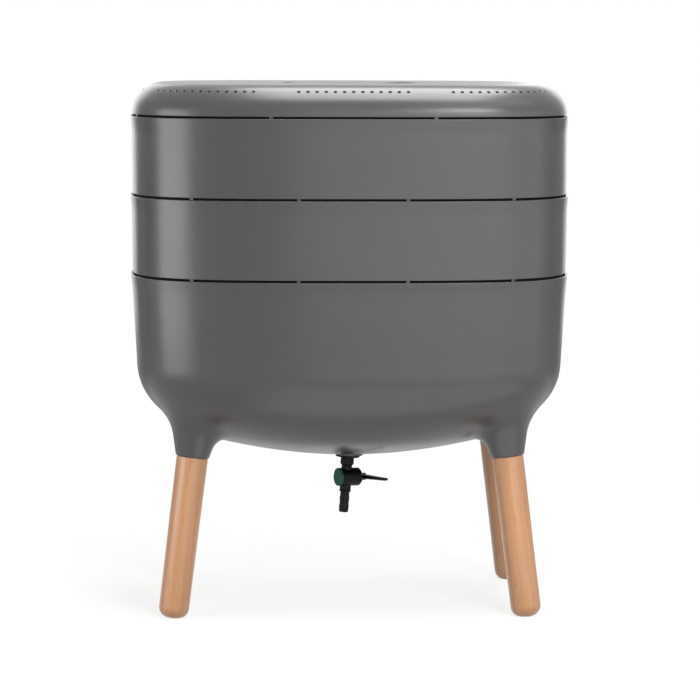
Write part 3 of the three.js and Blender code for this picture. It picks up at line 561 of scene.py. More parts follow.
def turned_ring(outline, steps=64, arcs=4):
    """A lathe about Z of a closed outline, for pieces with a bore."""
    rings = circles(rounded([outline[-1], *outline, outline[0]], arcs)[1:-1], steps)
    form = loft([*rings, rings[0]])
    kept = len(form.points) - steps
    return Form(form.points[:kept], [tuple(i % kept for i in face) for face in form.faces])


def rod(radius, low, high, steps=48, edge=0):
    return turned([(0, low), (radius, low, edge), (radius, high, edge), (0, high)], steps)


def block(size, middle, edge=0):
    """A box whose upright and level edges are rounded."""
    half = np.array(size) / 2
    corners = []
    for side_x, side_y, start in ((1, 1, 0), (-1, 1, 90), (-1, -1, 180), (1, -1, 270)):
        centre = np.array([side_x * (half[0] - edge), side_y * (half[1] - edge)])
        for turn in np.radians(np.linspace(start, start + 90, CORNER_POINTS)):
            corners.append((centre, np.array([math.cos(turn), math.sin(turn)])))
    side = [(edge, -half[2]), (0, -half[2], edge), (0, half[2], edge), (edge, half[2])]
    rings = [
        [(*(centre + way * (edge - drawn)), z) for centre, way in corners]
        for drawn, z in rounded(side, EDGE_ARCS)
    ]
    return closed(rings, -half[2], half[2]).moved(Matrix.Translation(middle))


# The plan shape

FINE_STEPS = 14400


def walked(points):
    """The length of the way along points, up to each of them."""
    return np.concatenate([[0], np.cumsum(np.hypot(*np.diff(points, axis=0).T))])


class Plan:
    """The oval that the rims share. Its points stand at equal walks around it."""

    def __init__(self, rims):
        self.rims = rims
        self.fine = np.linspace(-math.pi / 2, 1.5 * math.pi, FINE_STEPS + 1)
        ways = walked(self.outline(0, self.fine))
        self.angles = np.interp(np.linspace(0, ways[-1], rims.steps, endpoint=False), ways, self.fine)

    def outline(self, inset, angles):
        return oval(self.rims.width / 2 - inset, self.rims.depth / 2 - inset, self.rims.power, angles)

    def section(self, half_width, half_depth, power, z):
        return level(oval(half_width, half_depth, power, self.angles), z)

    def ring(self, inset, z):
        return level(self.outline(inset, self.angles), z)

    def walk(self, inset, walks):
        """Spots at shares and lengths of the way around from the front's middle, with outward headings."""
        outline = self.outline(inset, self.fine)
        ways = walked(outline)
        found = []
        for share, extra in walks:
            way = (share * ways[-1] + extra) % ways[-1]
            i = min(int(np.searchsorted(ways, way, side="right")) - 1, len(outline) - 2)
            ahead = outline[i + 1] - outline[i]
            spot = outline[i] + ahead * (way - ways[i]) / (ways[i + 1] - ways[i])
            found.append((spot, math.atan2(-ahead[0], ahead[1])))
        return found


def staggered(form, half_width, half_depth, power, pitch_x, pitch_y, z=0):
    """Copies of a form on a staggered grid inside an oval."""
    stands = []
    rows, columns = int(half_depth / pitch_y), math.ceil(half_width / pitch_x)
    for row in range(-rows, rows + 1):
        for column in range(-columns, columns + 1):
            x, y = (column + (row % 2) / 2) * pitch_x, row * pitch_y
            if abs(x / half_width) ** power + abs(y / half_depth) ** power <= 1:
                stands.append(Matrix.Translation((x, y, z)))
    return form.copies(stands)


def tabs(plan, tray, tab_count, wall_inset):
    """The small spacers that keep a groove open, under the shoulder at height zero."""
    rims = plan.rims
    reach, overlap = tray.tab_reach, rims.edge
    size = (reach, tray.tab_width, rims.groove + overlap)
    tab = block(size, (-reach / 2, 0, (overlap - rims.groove) / 2), overlap / 2)
    walks = [((i + 0.5) / tab_count, 0) for i in range(tab_count)]
    spots = plan.walk(wall_inset + tray.tab_inset, walks)
    return tab.copies(
        [Matrix.Translation((*spot, 0)) @ Matrix.Rotation(heading, 4, "Z") for spot, heading in spots]
    )


# Tub

BRIM_WALLS, MIDDLE_WALLS = 3, 4
BOOT_DEPTH_SHARE, RIB_DEPTH_SHARE = 0.7, 0.3
CORE_SHARE = 0.75
CORNER_SHARE = 0.3
HIT_HALVINGS, LEAN_HALVINGS = 22, 16


def tub_sections(tub, rims):
    """Heights, half widths, half depths and plan powers of the tub's outside, from the belly to the rim."""
    bowl_top = tub.belly + tub.bowl_rise
    turn_top = bowl_top + tub.turn_height
    bowl_half = rims.width / 2 - tub.bowl_inset_x, rims.depth / 2 - tub.bowl_inset_y
    wall_half = rims.width / 2 - tub.turn_inset, rims.depth / 2 - tub.turn_inset
    rows = []
    for share in np.linspace(0, 1, tub.bowl_rows, endpoint=False):
        z = tub.belly + tub.bowl_rise * share**tub.bowl_curve
        rows.append((z, bowl_half[0] * share, bowl_half[1] * share, tub.bowl_power))
    for z in np.linspace(bowl_top, turn_top, tub.turn_rows, endpoint=False):
        left = ((turn_top - z) / tub.turn_height) ** tub.turn_curve
        halves = [wide - (wide - low) * left for wide, low in zip(wall_half, bowl_half)]
        rows.append((z, *halves, rims.power - (rims.power - tub.bowl_power) * left))
    lip_foot = tub.rim - rims.lip_height
    knots = [turn_top, lip_foot, tub.rim - rims.lip_height / 2, tub.rim]
    insets = [tub.turn_inset, rims.low_inset, rims.lip_inset, 0]
    for z in np.linspace(turn_top, tub.rim, tub.wall_rows):
        inset = np.interp(z, knots, insets)
        rows.append((z, rims.width / 2 - inset, rims.depth / 2 - inset, rims.power))
    rows = np.array(rows)
    low, high = tub.bowl_rows // 2, len(rows) - 1
    for _ in range(tub.softening):
        rows[low:high] = (rows[low - 1 : high - 1] + 2 * rows[low:high] + rows[low + 1 : high + 1]) / 4
    return rows


def tub_distance(points, sections):
    """Distances of points from the tub's outside, each in the upright plane through the tub's middle."""
    heights, half_width, half_depth, power = sections.T
    reach = np.hypot(points[:, 0], points[:, 1])
    cosine, sine = np.abs(points[:, 0]) / reach, np.abs(points[:, 1]) / reach
    wide, deep = np.maximum(half_width, TINY), np.maximum(half_depth, TINY)
    radii = (cosine[:, None] / wide) ** power + (sine[:, None] / deep) ** power
    radii = radii ** (-1 / power)
    run_out, run_up = np.diff(radii, axis=1), np.diff(heights)
    off_out, off_up = reach[:, None] - radii[:, :-1], points[:, 2, None] - heights[:-1]
    share = (off_out * run_out + off_up * run_up) / (run_out**2 + run_up**2)
    share = np.clip(share, 0, 1)
    nearest = np.hypot(off_out - share * run_out, off_up - share * run_up).min(axis=1)
    above = np.clip(np.searchsorted(heights, points[:, 2]), 1, len(heights) - 1)
    part = (points[:, 2] - heights[above - 1]) / (heights[above] - heights[above - 1])
    picked = np.arange(len(points))
    radius = radii[picked, above - 1] * (1 - part) + radii[picked, above] * part
    inside = (points[:, 2] > heights[0]) & (reach < radius)
    return np.where(inside, -nearest, nearest)


def leg_frame(boots, rims, side_x, side_y):
    """A leg's frame: its origin is the middle of its boot's end and its Z runs up the leg."""
    up = Vector((-side_x * math.tan(boots.sideways), -side_y * math.tan(boots.lengthwise), 1))
    up.normalize()
    across = Vector((0, 1, 0)).cross(up).normalized()
    made = Matrix((across, up.cross(across), up)).transposed().to_4x4()
    made.translation = (
        side_x * (rims.width / 2 - boots.inset_x),
        side_y * (rims.depth / 2 - boots.inset_y),
        boots.end_height,
    )
    return made


def halved(near, far, is_near, halvings):
    """Halves the spans between near and far, over and over, towards where a test stops being true."""
    for _ in range(halvings):
        middle = (near + far) / 2
        inside = is_near(middle)
        near, far = np.where(inside, middle, near), np.where(inside, far, middle)
    return near, far


def boot_form(tub, boots, rims, sections):
    """The rear right boot as a skin around a core above it, with the soft blend that runs into the tub."""
    matrix = leg_frame(boots, rims, 1, 1)
    across, along, up = (np.array(matrix.col[i][:3]) for i in range(3))
    end = np.array(matrix.translation)
    turn_top = tub.belly + tub.bowl_rise + tub.turn_height
    core = end + up * (turn_top - boots.end_height) * CORE_SHARE
    turns = once_around(boots.columns)
    radial = np.outer(np.cos(turns), across) + np.outer(np.sin(turns), along)

    def boot_distance(points):
        offset = points - end
        rise = offset @ up
        reach = np.linalg.norm(offset - np.outer(rise, up), axis=1)
        return (reach - boots.end_radius - rise * math.tan(boots.flare)) * math.cos(boots.flare)

    def blended(points):
        tub_away, boot_away = tub_distance(points, sections), boot_distance(points)
        overlap = np.maximum(0, boots.blend - np.abs(tub_away - boot_away)) / boots.blend
        return np.minimum(tub_away, boot_away) - boots.blend * overlap**2 / 4

    def hit(origin, ways):
        def is_inside(reach):
            return blended(origin + ways * reach[:, None]) < 0

        near, _ = halved(np.zeros(len(ways)), np.full(len(ways), tub.rim), is_inside, HIT_HALVINGS)
        return origin + ways * near[:, None]

    def leaning(lean):
        return np.outer(-np.cos(lean), up) + radial * np.sin(lean)[:, None]

    def is_close(lean):
        return boot_distance(hit(core, leaning(lean))) < boots.blend

    reach = np.linalg.norm(hit(end, radial) - end, axis=1)
    lowest = np.arctan2(reach, np.linalg.norm(core - end))
    _, far = halved(lowest, np.full(len(turns), math.pi / 2), is_close, LEAN_HALVINGS)
    edge, corner = rims.edge, CORNER_SHARE * rims.edge
    flat = end + radial * (reach - edge)[:, None]
    rings = [flat, end + radial * (reach - corner)[:, None] + up * corner]
    first_share = edge / (core - end).dot(up) / 2
    for share in np.linspace(first_share, 1, boots.rows):
        rings.append(hit(core, leaning(lowest + (far - lowest) * share)))
    last = rings[-1] - core
    sunk = rings[-1] - last / np.linalg.norm(last, axis=1)[:, None] * edge / 2
    return loft([*rings, sunk], end, core)


def shell_form(plan, tub, sections):
    """The tub's shell: up its outside, over its rim and down its inside."""
    rims = plan.rims
    wall, foot = rims.wall, tub.rim - BRIM_WALLS * rims.wall
    outer = [plan.section(w, d, p, z) for z, w, d, p in sections[1:] if z < foot]
    inset = np.interp(foot, sections[:, 0], rims.width / 2 - sections[:, 1])
    brim = [(inset, foot), (0, tub.rim, rims.edge), (wall, tub.rim, rims.edge), (inset + wall, foot)]
    inner = [
        plan.section(w - wall, d - wall, p, z + wall)
        for z, w, d, p in sections[::-1]
        if z + wall < foot and d > MIDDLE_WALLS * wall
    ]
    rings = [*outer, *(plan.ring(across, z) for across, z in rounded(brim)), *inner]
    return closed(rings, tub.belly, tub.belly + wall)


def hollow_form(plan, tub, sections, wall):
    """The tub's inside under a wall of the given thickness, as a solid that cuts or trims what meets it."""
    rows = [
        plan.section(w - wall, d - wall, p, z + wall)
        for z, w, d, p in sections
        if d > MIDDLE_WALLS * plan.rims.wall
    ]
    return closed(rows, tub.belly + wall, tub.rim + wall)


def tap_frame(tap, tub):
    """The tap's frame: its origin is the middle of the drain pad's underside."""
    return Matrix.Translation((0, 0, tub.belly - tap.pad_drop)) @ Matrix.Rotation(tap.lean, 4, "Y")


def pad_top(tap, rims):
    return tap.pad_drop + rims.wall + tap.pad_above


def rib_forms(tub, rims, sections, sieve):
    """Upright ribs along the tub's wall that carry the sieve."""
    low, high = tub.belly + tub.bowl_rise / 2, tub.belly + sieve.above_belly
    heights = sections[:, 0] + rims.wall
    half_width, half_depth, power = (np.interp(high, heights, sections[:, i]) for i in (1, 2, 3))
    half_width, half_depth = half_width - rims.wall, half_depth - rims.wall
    middle, tall = (low + high) / 2, high - low
    thick, deep = tub.rib_thickness, 2 * tub.rib_reach
    made = []
    for side_x, side_y in SIDES.values():
        x, y = side_x * tub.rib_spread_x / 2, side_y * tub.rib_spread_y / 2
        front = side_y * half_depth * (1 - (abs(x) / half_width) ** power) ** (1 / power)
        end = side_x * half_width * (1 - (abs(y) / half_depth) ** power) ** (1 / power)
        made.append(block((thick, deep, tall), (x, front, middle), rims.edge))
        made.append(block((deep, thick, tall), (end, y, middle), rims.edge))
    return combined(made)


class WORMERY_OT_tub(Operator):
    """Builds the tub with its boots, sockets, ribs and drain pad"""

    bl_idname = "wormery.tub"
    bl_label = "Tub"

    def execute(self, context):
        scene = context.scene
        tub, rims, boots, tap = scene.worm_tub, scene.worm_rims, scene.worm_boots, scene.worm_tap
        wall, edge = rims.wall, rims.edge
        plan, sections = Plan(rims), tub_sections(tub, rims)
        shell = shell_form(plan, tub, sections)
        boot = boot_form(tub, boots, rims, sections)
        hollow = hollow_form(plan, tub, sections, wall * BOOT_DEPTH_SHARE)
        boot_pieces = [carve("boot", boot.mirrored(*side), cuts=[hollow]) for side in SIDES.values()]
        wider_hollow = hollow_form(plan, tub, sections, wall * RIB_DEPTH_SHARE)
        ribs = carve("ribs", rib_forms(tub, rims, sections, scene.worm_sieve), within=[wider_hollow])
        frames = [leg_frame(boots, rims, *side) for side in SIDES.values()]
        boss_top, depth = boots.socket_depth + boots.socket_roof, boots.socket_depth
        boss = rod(boots.socket_radius + boots.socket_wall, edge, boss_top, edge=edge)
        radius = boots.socket_radius
        socket = turned([(0, -wall), (radius, -wall), (radius, depth, edge), (0, depth)])
        screw_hole = rod(boots.screw_hole, 0, boss_top + wall, steps=24)
        tap_matrix, top = tap_frame(tap, tub), pad_top(tap, rims)
        pad = rod(tap.pad_radius, 0, top, steps=96, edge=edge).moved(tap_matrix)
        drain = rod(tap.pad_hole, -wall, top + wall).moved(tap_matrix)
        joins = [*boot_pieces, pad, ribs, boss.copies(frames)]
        cuts = [socket.copies(frames), screw_hole.copies(frames), drain]
        # Painted shade: the shell's outward faces low on the bowl are marked to be painted dark and dull.
        shell = mark_painted_shade(shell.mesh("shell"), tub.belly + tub.painted_underside_height, tub.painted_underside_shade)
        made = carve("tub_shell", shell, joins, cuts)
        place("tub_shell", made, "base", "moulded_plastic", "tub")
        return {"FINISHED"}


# Trays

LIP_CURVE = 6


def tray_form(plan, tray):
    """A tray's floor, skirt, wall and lip, before its holes and tabs."""
    rims = plan.rims
    edge, wall, skirt = rims.edge, rims.wall, rims.skirt_inset
    foot, bottom = skirt + tray.skirt_draft, -tray.skirt_drop
    flat, floor = foot + 3 * tray.corner, bottom + tray.floor
    lip, soft = tray.wall_height - rims.lip_height, LIP_CURVE * rims.lip_height
    outline = [
        (flat, bottom),
        (foot, bottom, tray.corner),
        (skirt, 0, edge / 2),
        (tray.wall_inset, 0, edge),
        (rims.lip_inset, lip, soft),
        (0, tray.wall_height, edge),
        (wall, tray.wall_height, edge),
        (rims.lip_inset + wall, lip, soft),
        (tray.wall_inset + wall, wall, edge),
        (skirt + wall, wall, edge),
        (foot + wall, floor, tray.corner),
        (flat, floor),
    ]
    return closed([plan.ring(inset, z) for inset, z in rounded(outline)], bottom, floor)


class WORMERY_OT_trays(Operator):
    """Builds the two perforated trays"""

    bl_idname = "wormery.trays"
    bl_label = "Trays"

    def execute(self, context):
        rims, tray = context.scene.worm_rims, context.scene.worm_trays
        plan = Plan(rims)
        margin = rims.skirt_inset + tray.skirt_draft + rims.wall + tray.hole_margin
        area = rims.width / 2 - margin, rims.depth / 2 - margin, rims.power
        bottom, row_pitch = -tray.skirt_drop, tray.hole_pitch * math.sqrt(3) / 2
        drill = rod(tray.hole_radius, bottom - rims.wall, bottom + tray.floor + rims.wall, steps=24)
        holes = staggered(drill, *area, tray.hole_pitch, row_pitch)
        spacers = tabs(plan, tray, tray.tab_count, tray.wall_inset)
        for node in ("lower_tray", "upper_tray"):
            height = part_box(node)[0].z + tray.skirt_drop
            stand = Matrix.Translation((0, 0, height))
            shell = tray_form(plan, tray).moved(stand).mesh("shell")
            # Painted shade: the skirt's outward faces, down in the groove under the tray, are painted dark.
            mark_painted_shade(shell, height, rims.groove_shade)
            made = carve(f"{node}_shell", shell, [spacers.moved(stand)], [holes.moved(stand)])
            place(f"{node}_shell", made, f"{node}_body", "moulded_plastic", node)
        return {"FINISHED"}


# Lid

LID_ARCS, WELL_ARCS, BAR_ARCS = 14, 8, 6
WELL_POINTS = 128


def lid_form(plan, lid):
    """The lid's rounded top and its collar, before its well, vents and tabs."""
    edge, wall, skirt = plan.rims.edge, plan.rims.wall, plan.rims.skirt_inset
    outside, collar, drop = lid.edge_inset, skirt + lid.collar, -lid.collar_drop
    inside, ceiling = outside + wall, lid.round - wall
    outline = [
        (inside + 2 * lid.round, ceiling),
        (inside, ceiling, ceiling),
        (inside, wall, edge),
        (collar, wall, edge),
        (collar, drop, edge),
        (skirt, drop, edge),
        (skirt, 0, edge / 2),
        (outside, 0, edge),
        (outside, lid.round, lid.round - edge),
        (outside + 2 * lid.round, lid.round),
    ]
    return closed([plan.ring(inset, z) for inset, z in rounded(outline, LID_ARCS)], ceiling, lid.round)


def vent_forms(plan, lid):
    """Vent drills in groups around the rounded shoulder, square to its surface."""
    middle = (lid.vents - 1) / 2
    inset = lid.edge_inset + lid.round * (1 - math.cos(lid.vent_tilt))
    walks = [
        (group / lid.vent_groups, (i - middle) * lid.vent_pitch)
        for group in range(lid.vent_groups)
        for i in range(lid.vents)
    ]
    radius, reach, brim = lid.vent_radius, 2 * plan.rims.wall, lid.vent_radius / 4
    wide = radius + 2 * brim
    outline = [(0, -reach), (radius, -reach), (radius, -brim), (wide, brim), (wide, reach), (0, reach)]
    tilt = Matrix.Rotation(math.pi / 2 - lid.vent_tilt, 4, "Y")
    rise = lid.round * math.sin(lid.vent_tilt)
    return turned(outline, steps=16).copies(
        [
            Matrix.Translation((*spot, rise)) @ Matrix.Rotation(heading, 4, "Z") @ tilt
            for spot, heading in plan.walk(inset, walks)
        ]
    )


def well_rings(lid, outline, arcs=5):
    """Rings of the finger well's plan that grow along an outline."""
    turns = once_around(WELL_POINTS)
    return [
        level(oval(lid.well_half_width + grow, lid.well_half_depth + grow, lid.well_power, turns), z)
        for grow, z in rounded(outline, arcs)
    ]


def well_form(lid, rims):
    """The finger well as a solid, with a rounded brim and a rounded foot."""
    floor, brim, draft = lid.round - lid.well_depth, lid.well_round, lid.well_draft
    outline = [(-3 * draft, floor), (-draft, floor, 2 * brim), (0, lid.round, brim), (2 * brim, lid.round)]
    rings = well_rings(lid, outline, WELL_ARCS)[:-1]
    rings.append(rings[-1] + (0, 0, rims.wall))
    return closed(rings, floor, lid.round + rims.wall)


def cup_form(lid, rims):
    """The finger well's wall as a solid, before the well is cut."""
    wall, top = rims.wall, lid.round - rims.wall / 2
    foot = lid.round - lid.well_depth - wall
    outline = [(-3 * wall, foot), (wall - lid.well_draft, foot, 2 * wall), (wall, top), (0, top)]
    return closed(well_rings(lid, outline), foot, top)


def bar_form(lid, rims):
    """The grip bar across the finger well, through its walls at both ends."""
    floor, top, half = lid.round - lid.well_depth, lid.round - lid.bar_below, lid.bar / 2
    foot, wide = floor - rims.wall / 2, half + lid.bar_draft
    section = [
        (0, foot),
        (wide, foot),
        (half, top, lid.well_round),
        (-half, top, lid.well_round),
        (-wide, foot),
        (0, foot),
    ]
    ends = (-lid.well_half_width, lid.well_half_width)
    edges = [[(x, y, z) for y, z in rounded(section, BAR_ARCS)[:-1]] for x in ends]
    return loft(edges, (ends[0], 0, floor), (ends[1], 0, floor))


class WORMERY_OT_lid(Operator):
    """Builds the vented lid with its finger well and grip bar"""

    bl_idname = "wormery.lid"
    bl_label = "Lid"

    def execute(self, context):
        scene = context.scene
        rims, lid, plan = scene.worm_rims, scene.worm_lid, Plan(scene.worm_rims)
        cup = cup_form(lid, rims)
        bar = carve("bar", bar_form(lid, rims), within=[cup])
        spacers = tabs(plan, scene.worm_trays, lid.tab_count, lid.edge_inset)
        # Painted shade: the lid's outward faces below its edge, in the groove, are painted dark.
        shell = mark_painted_shade(lid_form(plan, lid).mesh("lid"), 0, rims.groove_shade)
        shell = carve("lid", shell, [cup, spacers], [well_form(lid, rims), vent_forms(plan, lid)])
        made = shift(carve("lid_shell", shell, [bar]), Matrix.Translation((0, 0, LID_TOP - lid.round)))
        place("lid_shell", made, "lid_body", "moulded_plastic", "lid")
        return {"FINISHED"}


# Sieve

SLOT_END_POINTS = 9
BORDER_WALLS = 6


def slot_form(size):
    """A slot with round ends, as a solid."""
    radius, half = size[1] / 2, (size[0] - size[1]) / 2
    outline = []
    for side in (1, -1):
        for turn in np.linspace(-math.pi / 2, math.pi / 2, SLOT_END_POINTS):
            outline.append((side * (half + radius * math.cos(turn)), side * radius * math.sin(turn)))
    return closed([level(outline, z) for z in (-size[2] / 2, size[2] / 2)], -size[2] / 2, size[2] / 2)


class WORMERY_OT_sieve(Operator):
    """Builds the slotted sieve over the sump"""

    bl_idname = "wormery.sieve"
    bl_label = "Sieve"

    def execute(self, context):
        scene = context.scene
        rims, tub, sieve = scene.worm_rims, scene.worm_tub, scene.worm_sieve
        wall, edge, top = rims.wall, rims.edge, sieve.rim_height
        plan, sections = Plan(rims), tub_sections(tub, rims)
        corner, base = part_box("sieve")[1], tub.belly + sieve.above_belly
        power = np.interp(base, sections[:, 0] + wall, sections[:, 3])
        foot, inner = top - sieve.plate, BORDER_WALLS * wall
        outline = [(inner, foot), (wall, foot, edge), (wall, 0, edge)]
        outline += [(0, 0, edge), (0, top, edge), (inner, top)]
        rings = [
            plan.section(corner.x - inset, corner.y - inset, power, base + z)
            for inset, z in rounded(outline)
        ]
        plate = closed(rings, base + foot, base + top)
        margin = wall + sieve.margin
        area = corner.x - margin, corner.y - margin, power
        slot = slot_form((sieve.slot_length, sieve.slot_width, 3 * sieve.plate))
        slots = staggered(slot, *area, sieve.pitch_x, sieve.pitch_y, base + foot + sieve.plate / 2)
        made = carve("sieve_plate", plate, cuts=[slots])
        place("sieve_plate", made, "sieve_insert", "moulded_plastic", "sieve")
        return {"FINISHED"}


# Legs


class WORMERY_OT_legs(Operator):
    """Builds the four turned legs"""

    bl_idname = "wormery.legs"
    bl_label = "Legs"

    def execute(self, context):
        scene = context.scene
        rims, boots, leg = scene.worm_rims, scene.worm_boots, scene.worm_legs
        for where, side in SIDES.items():
            matrix = leg_frame(boots, rims, *side)
            up = matrix.col[2].xyz
            foot = -boots.end_height / up.z - leg.press
            tenon = boots.socket_depth - leg.gap
            outline = [
                (0, foot),
                (leg.foot_radius, foot, leg.foot_round),
                (leg.top_radius, -leg.gap, leg.shoulder),
                (leg.tenon_radius, -leg.gap),
                (leg.tenon_radius, tenon, leg.shoulder),
                (0, tenon),
            ]
            form = turned(outline, steps=96, arcs=12)
            turn, origin = np.array(matrix.to_3x3()), np.array(matrix.translation)
            heights = form.points @ turn[2] + origin[2]
            form.points[:, 2] += np.maximum(0, -heights) / up.z
            place(f"leg_{where}_turned", form, "base", "beech", f"leg_{where}", matrix)
        return {"FINISHED"}


# Tap

BULGE_SHARES = {"foot": 0.45, "low": 0.55, "high": 0.8}
RECESS_SHARE, RECESS_EDGE_SHARE = 0.55, 0.62
BARB_TOP_SHARE = 0.75
ARM_POINTS, ARM_ROWS = 40, 28
ARM_POWER = 10 / 3
TIP_ROWS_POWER = 1.6
TIP_LEAST_THICK, TIP_LEAST_WIDE = 1e-2, 1e-4


def axis_frame(tap, tub):
    """The frame of the tap's turning axis: its Z runs along the barrel towards the lever."""
    return (
        tap_frame(tap, tub)
        @ Matrix.Translation((0, 0, -tap.drop))
        @ Matrix.Rotation(tap.turn, 4, "Z")
        @ Matrix.Rotation(math.pi / 2, 4, "Y")
    )


def outlet_foot(tap):
    return -tap.drop - tap.barrel_radius - tap.outlet_drop


def housing_mesh(tap, rims, hang, axis):
    """The flange, neck, barrel and outlet in one moulding, with its bores."""
    edge, wall, gap = rims.edge, rims.wall, tap.clearance
    back, end, radius = tap.barrel_cap_end, tap.barrel_lever_end, tap.barrel_radius
    flange_top = -tap.gasket
    flange_foot, neck_foot = flange_top - tap.flange, -tap.drop + radius / 2
    foot, low, high = (neck_foot + share * (flange_foot - neck_foot) for share in BULGE_SHARES.values())
    thread_top = pad_top(tap, rims) + tap.gasket + tap.nut_height + tap.above_nut
    inlet = turned(
        [
            (0, neck_foot),
            (tap.neck_foot, neck_foot),
            (tap.neck_foot, foot, 2 * edge),
            (tap.neck_bulge, low, 2 * edge),
            (tap.neck_bulge, high, 2 * edge),
            (tap.neck_top, flange_foot, edge),
            (tap.flange_radius, flange_foot, edge),
            (tap.flange_radius, flange_top, edge / 2),
            (tap.thread_radius, flange_top),
            (tap.thread_radius, thread_top, edge),
            (0, thread_top),
        ]
    )
    bevel = [(radius, end - tap.chamfer, edge), (radius - tap.chamfer, end, edge)]
    barrel = turned([(0, back), (radius, back, edge / 3), *bevel, (0, end)])
    mouth = outlet_foot(tap)
    outlet = rod(tap.outlet_radius, mouth, -tap.drop, edge=edge)
    flow = rod(tap.bore, mouth - wall, thread_top + wall)
    seat = rod(tap.root_radius + gap, mouth - wall, mouth + tap.spigot + gap)
    plug_bore = rod(tap.plug_radius + gap, back - wall, end - tap.end_wall)
    stem_bore = rod(tap.stem_radius + gap, 0, end + wall)
    cuts = [flow.moved(hang), seat.moved(hang), plug_bore.moved(axis), stem_bore.moved(axis)]
    return carve("tap_housing", inlet.moved(hang), [barrel.moved(axis), outlet.moved(hang)], cuts)


def nut_mesh(tap, rims, hang):
    foot = pad_top(tap, rims) + tap.gasket
    nut = rod(tap.nut_radius, foot, foot + tap.nut_height, steps=6)
    bore = rod(tap.thread_radius + tap.clearance, foot - rims.wall, foot + 3 * tap.nut_height)
    return carve("tap_nut", nut.moved(hang), cuts=[bore.moved(hang)])


def tail_form(tap, edge):
    """The barbed hose tail that plugs into the outlet."""
    top, root = outlet_foot(tap), tap.root_radius
    foot, plugged = top - tap.tail_length, top + tap.spigot
    collar_top = top - tap.clearance
    collar_foot = collar_top - tap.collar_height
    barb_run = (tap.tail_length - tap.collar_height) / (tap.barbs + 0.5)
    outline = [(tap.bore, plugged), (tap.bore, foot, edge), (root, foot, edge)]
    for i in range(tap.barbs):
        start = foot + i * barb_run
        outline.append((tap.barb_radius, start + BARB_TOP_SHARE * barb_run, edge))
        outline.append((root, start + barb_run, edge / 2))
    outline += [(root, collar_foot, edge / 2), (tap.collar_radius, collar_foot, edge)]
    outline += [(tap.collar_radius, collar_top, edge), (root, collar_top), (root, plugged)]
    return turned_ring(outline)


def cap_form(tap, edge):
    """The end cap, with a shallow round recess."""
    back, radius = tap.barrel_cap_end, tap.barrel_radius
    face = back - tap.cap
    recess = face + tap.cap_edge / 2
    return turned(
        [
            (0, recess),
            (RECESS_SHARE * radius, recess, edge / 2),
            (RECESS_EDGE_SHARE * radius, face, edge / 2),
            (radius, face, tap.cap_edge),
            (radius, back, edge / 3),
            (0, back),
        ]
    )


class WORMERY_OT_tap_body(Operator):
    """Builds the tap's housing, locknut, hose tail and end cap"""

    bl_idname = "wormery.tap_body"
    bl_label = "Tap body"

    def execute(self, context):
        scene = context.scene
        tap, tub, rims = scene.worm_tap, scene.worm_tub, scene.worm_rims
        hang, axis = tap_frame(tap, tub), axis_frame(tap, tub)
        place("tap_housing", housing_mesh(tap, rims, hang, axis), "base", "tap_black", "tap_body")
        place("tap_nut", nut_mesh(tap, rims, hang), "base", "tap_black", "tap_locknut")
        place("tap_tail", tail_form(tap, rims.edge).moved(hang), "base", "tap_black", "tap_hose_tail")
        place("tap_cap", cap_form(tap, rims.edge).moved(axis), "base", "tap_green", "tap_end_cap")
        return {"FINISHED"}


def arm_form(tap, start):
    """The lever's arm as oval sections that thin out and round off towards its tip."""
    half, turns, rings = tap.lever_width / 2, once_around(ARM_POINTS), []
    reach, middle = tap.lever + half, start + half
    for share in 1 - (1 - np.linspace(0, 1, ARM_ROWS)) ** TIP_ROWS_POWER:
        way = share * reach
        left = np.clip((reach - way) / half, 0, 1)
        roundness = 1 - (1 - left) ** 2
        thick = (tap.lever_root + (tap.lever_tip - tap.lever_root) * share) / 2
        thick *= math.sqrt(max(TIP_LEAST_THICK, roundness))
        wide = half * math.sqrt(max(TIP_LEAST_WIDE, roundness))
        x, z = oval(thick, wide, ARM_POWER, turns).T
        rings.append(np.column_stack([x, np.full(len(x), -way), z + middle]))
    return loft(rings, (0, 0, middle), (0, -reach, middle))


def screw_mesh(tap, edge, start, seat):
    """The lever's screw, with a cross in its head."""
    head, height, radius = tap.screw_head, tap.screw_head_height, tap.screw_radius
    top = seat + height
    outline = [(0, start), (radius, start, edge / 2), (radius, seat), (head, seat, edge / 4)]
    outline += [(head, seat + height / 3, edge / 2), (head / 2, top, edge), (0, top)]
    slot = block((2 * head, radius / 2, height), (0, 0, top))
    slots = [slot, slot.moved(Matrix.Rotation(math.pi / 2, 4, "Z"))]
    return carve("tap_screw", turned(outline, steps=40), cuts=slots)


class WORMERY_OT_tap_lever(Operator):
    """Builds the tap's lever and its screw"""

    bl_idname = "wormery.tap_lever"
    bl_label = "Tap lever"

    def execute(self, context):
        scene = context.scene
        tap, rims = scene.worm_tap, scene.worm_rims
        edge, gap, matrix = rims.edge, tap.clearance, axis_frame(tap, scene.worm_tub)
        start = tap.barrel_lever_end + gap
        seat, stem_end = start + tap.hub_length, tap.barrel_lever_end - gap + tap.stem_reach
        hub = rod(tap.hub_radius, start, seat, edge=edge)
        arm = arm_form(tap, start).moved(Matrix.Rotation(-tap.lever_lift, 4, "Z"))
        stem_hole = rod(tap.stem_radius + gap / 2, start - rims.wall, stem_end + gap)
        screw_hole = rod(tap.screw_radius + gap / 2, 0, seat + rims.wall, steps=24)
        lever = carve("tap_lever_arm", hub, [arm], [stem_hole, screw_hole])
        place("tap_lever_arm", shift(lever, matrix), "tap_valve", "tap_black", "tap_lever")
        screw = screw_mesh(tap, edge, stem_end - tap.screw_length, seat)
        place("tap_screw", shift(screw, matrix), "tap_valve", "screw_steel", "tap_lever_screw")
        return {"FINISHED"}


# Materials

MIX_COLOUR = 2
NOISE_MIDDLE = 0.5
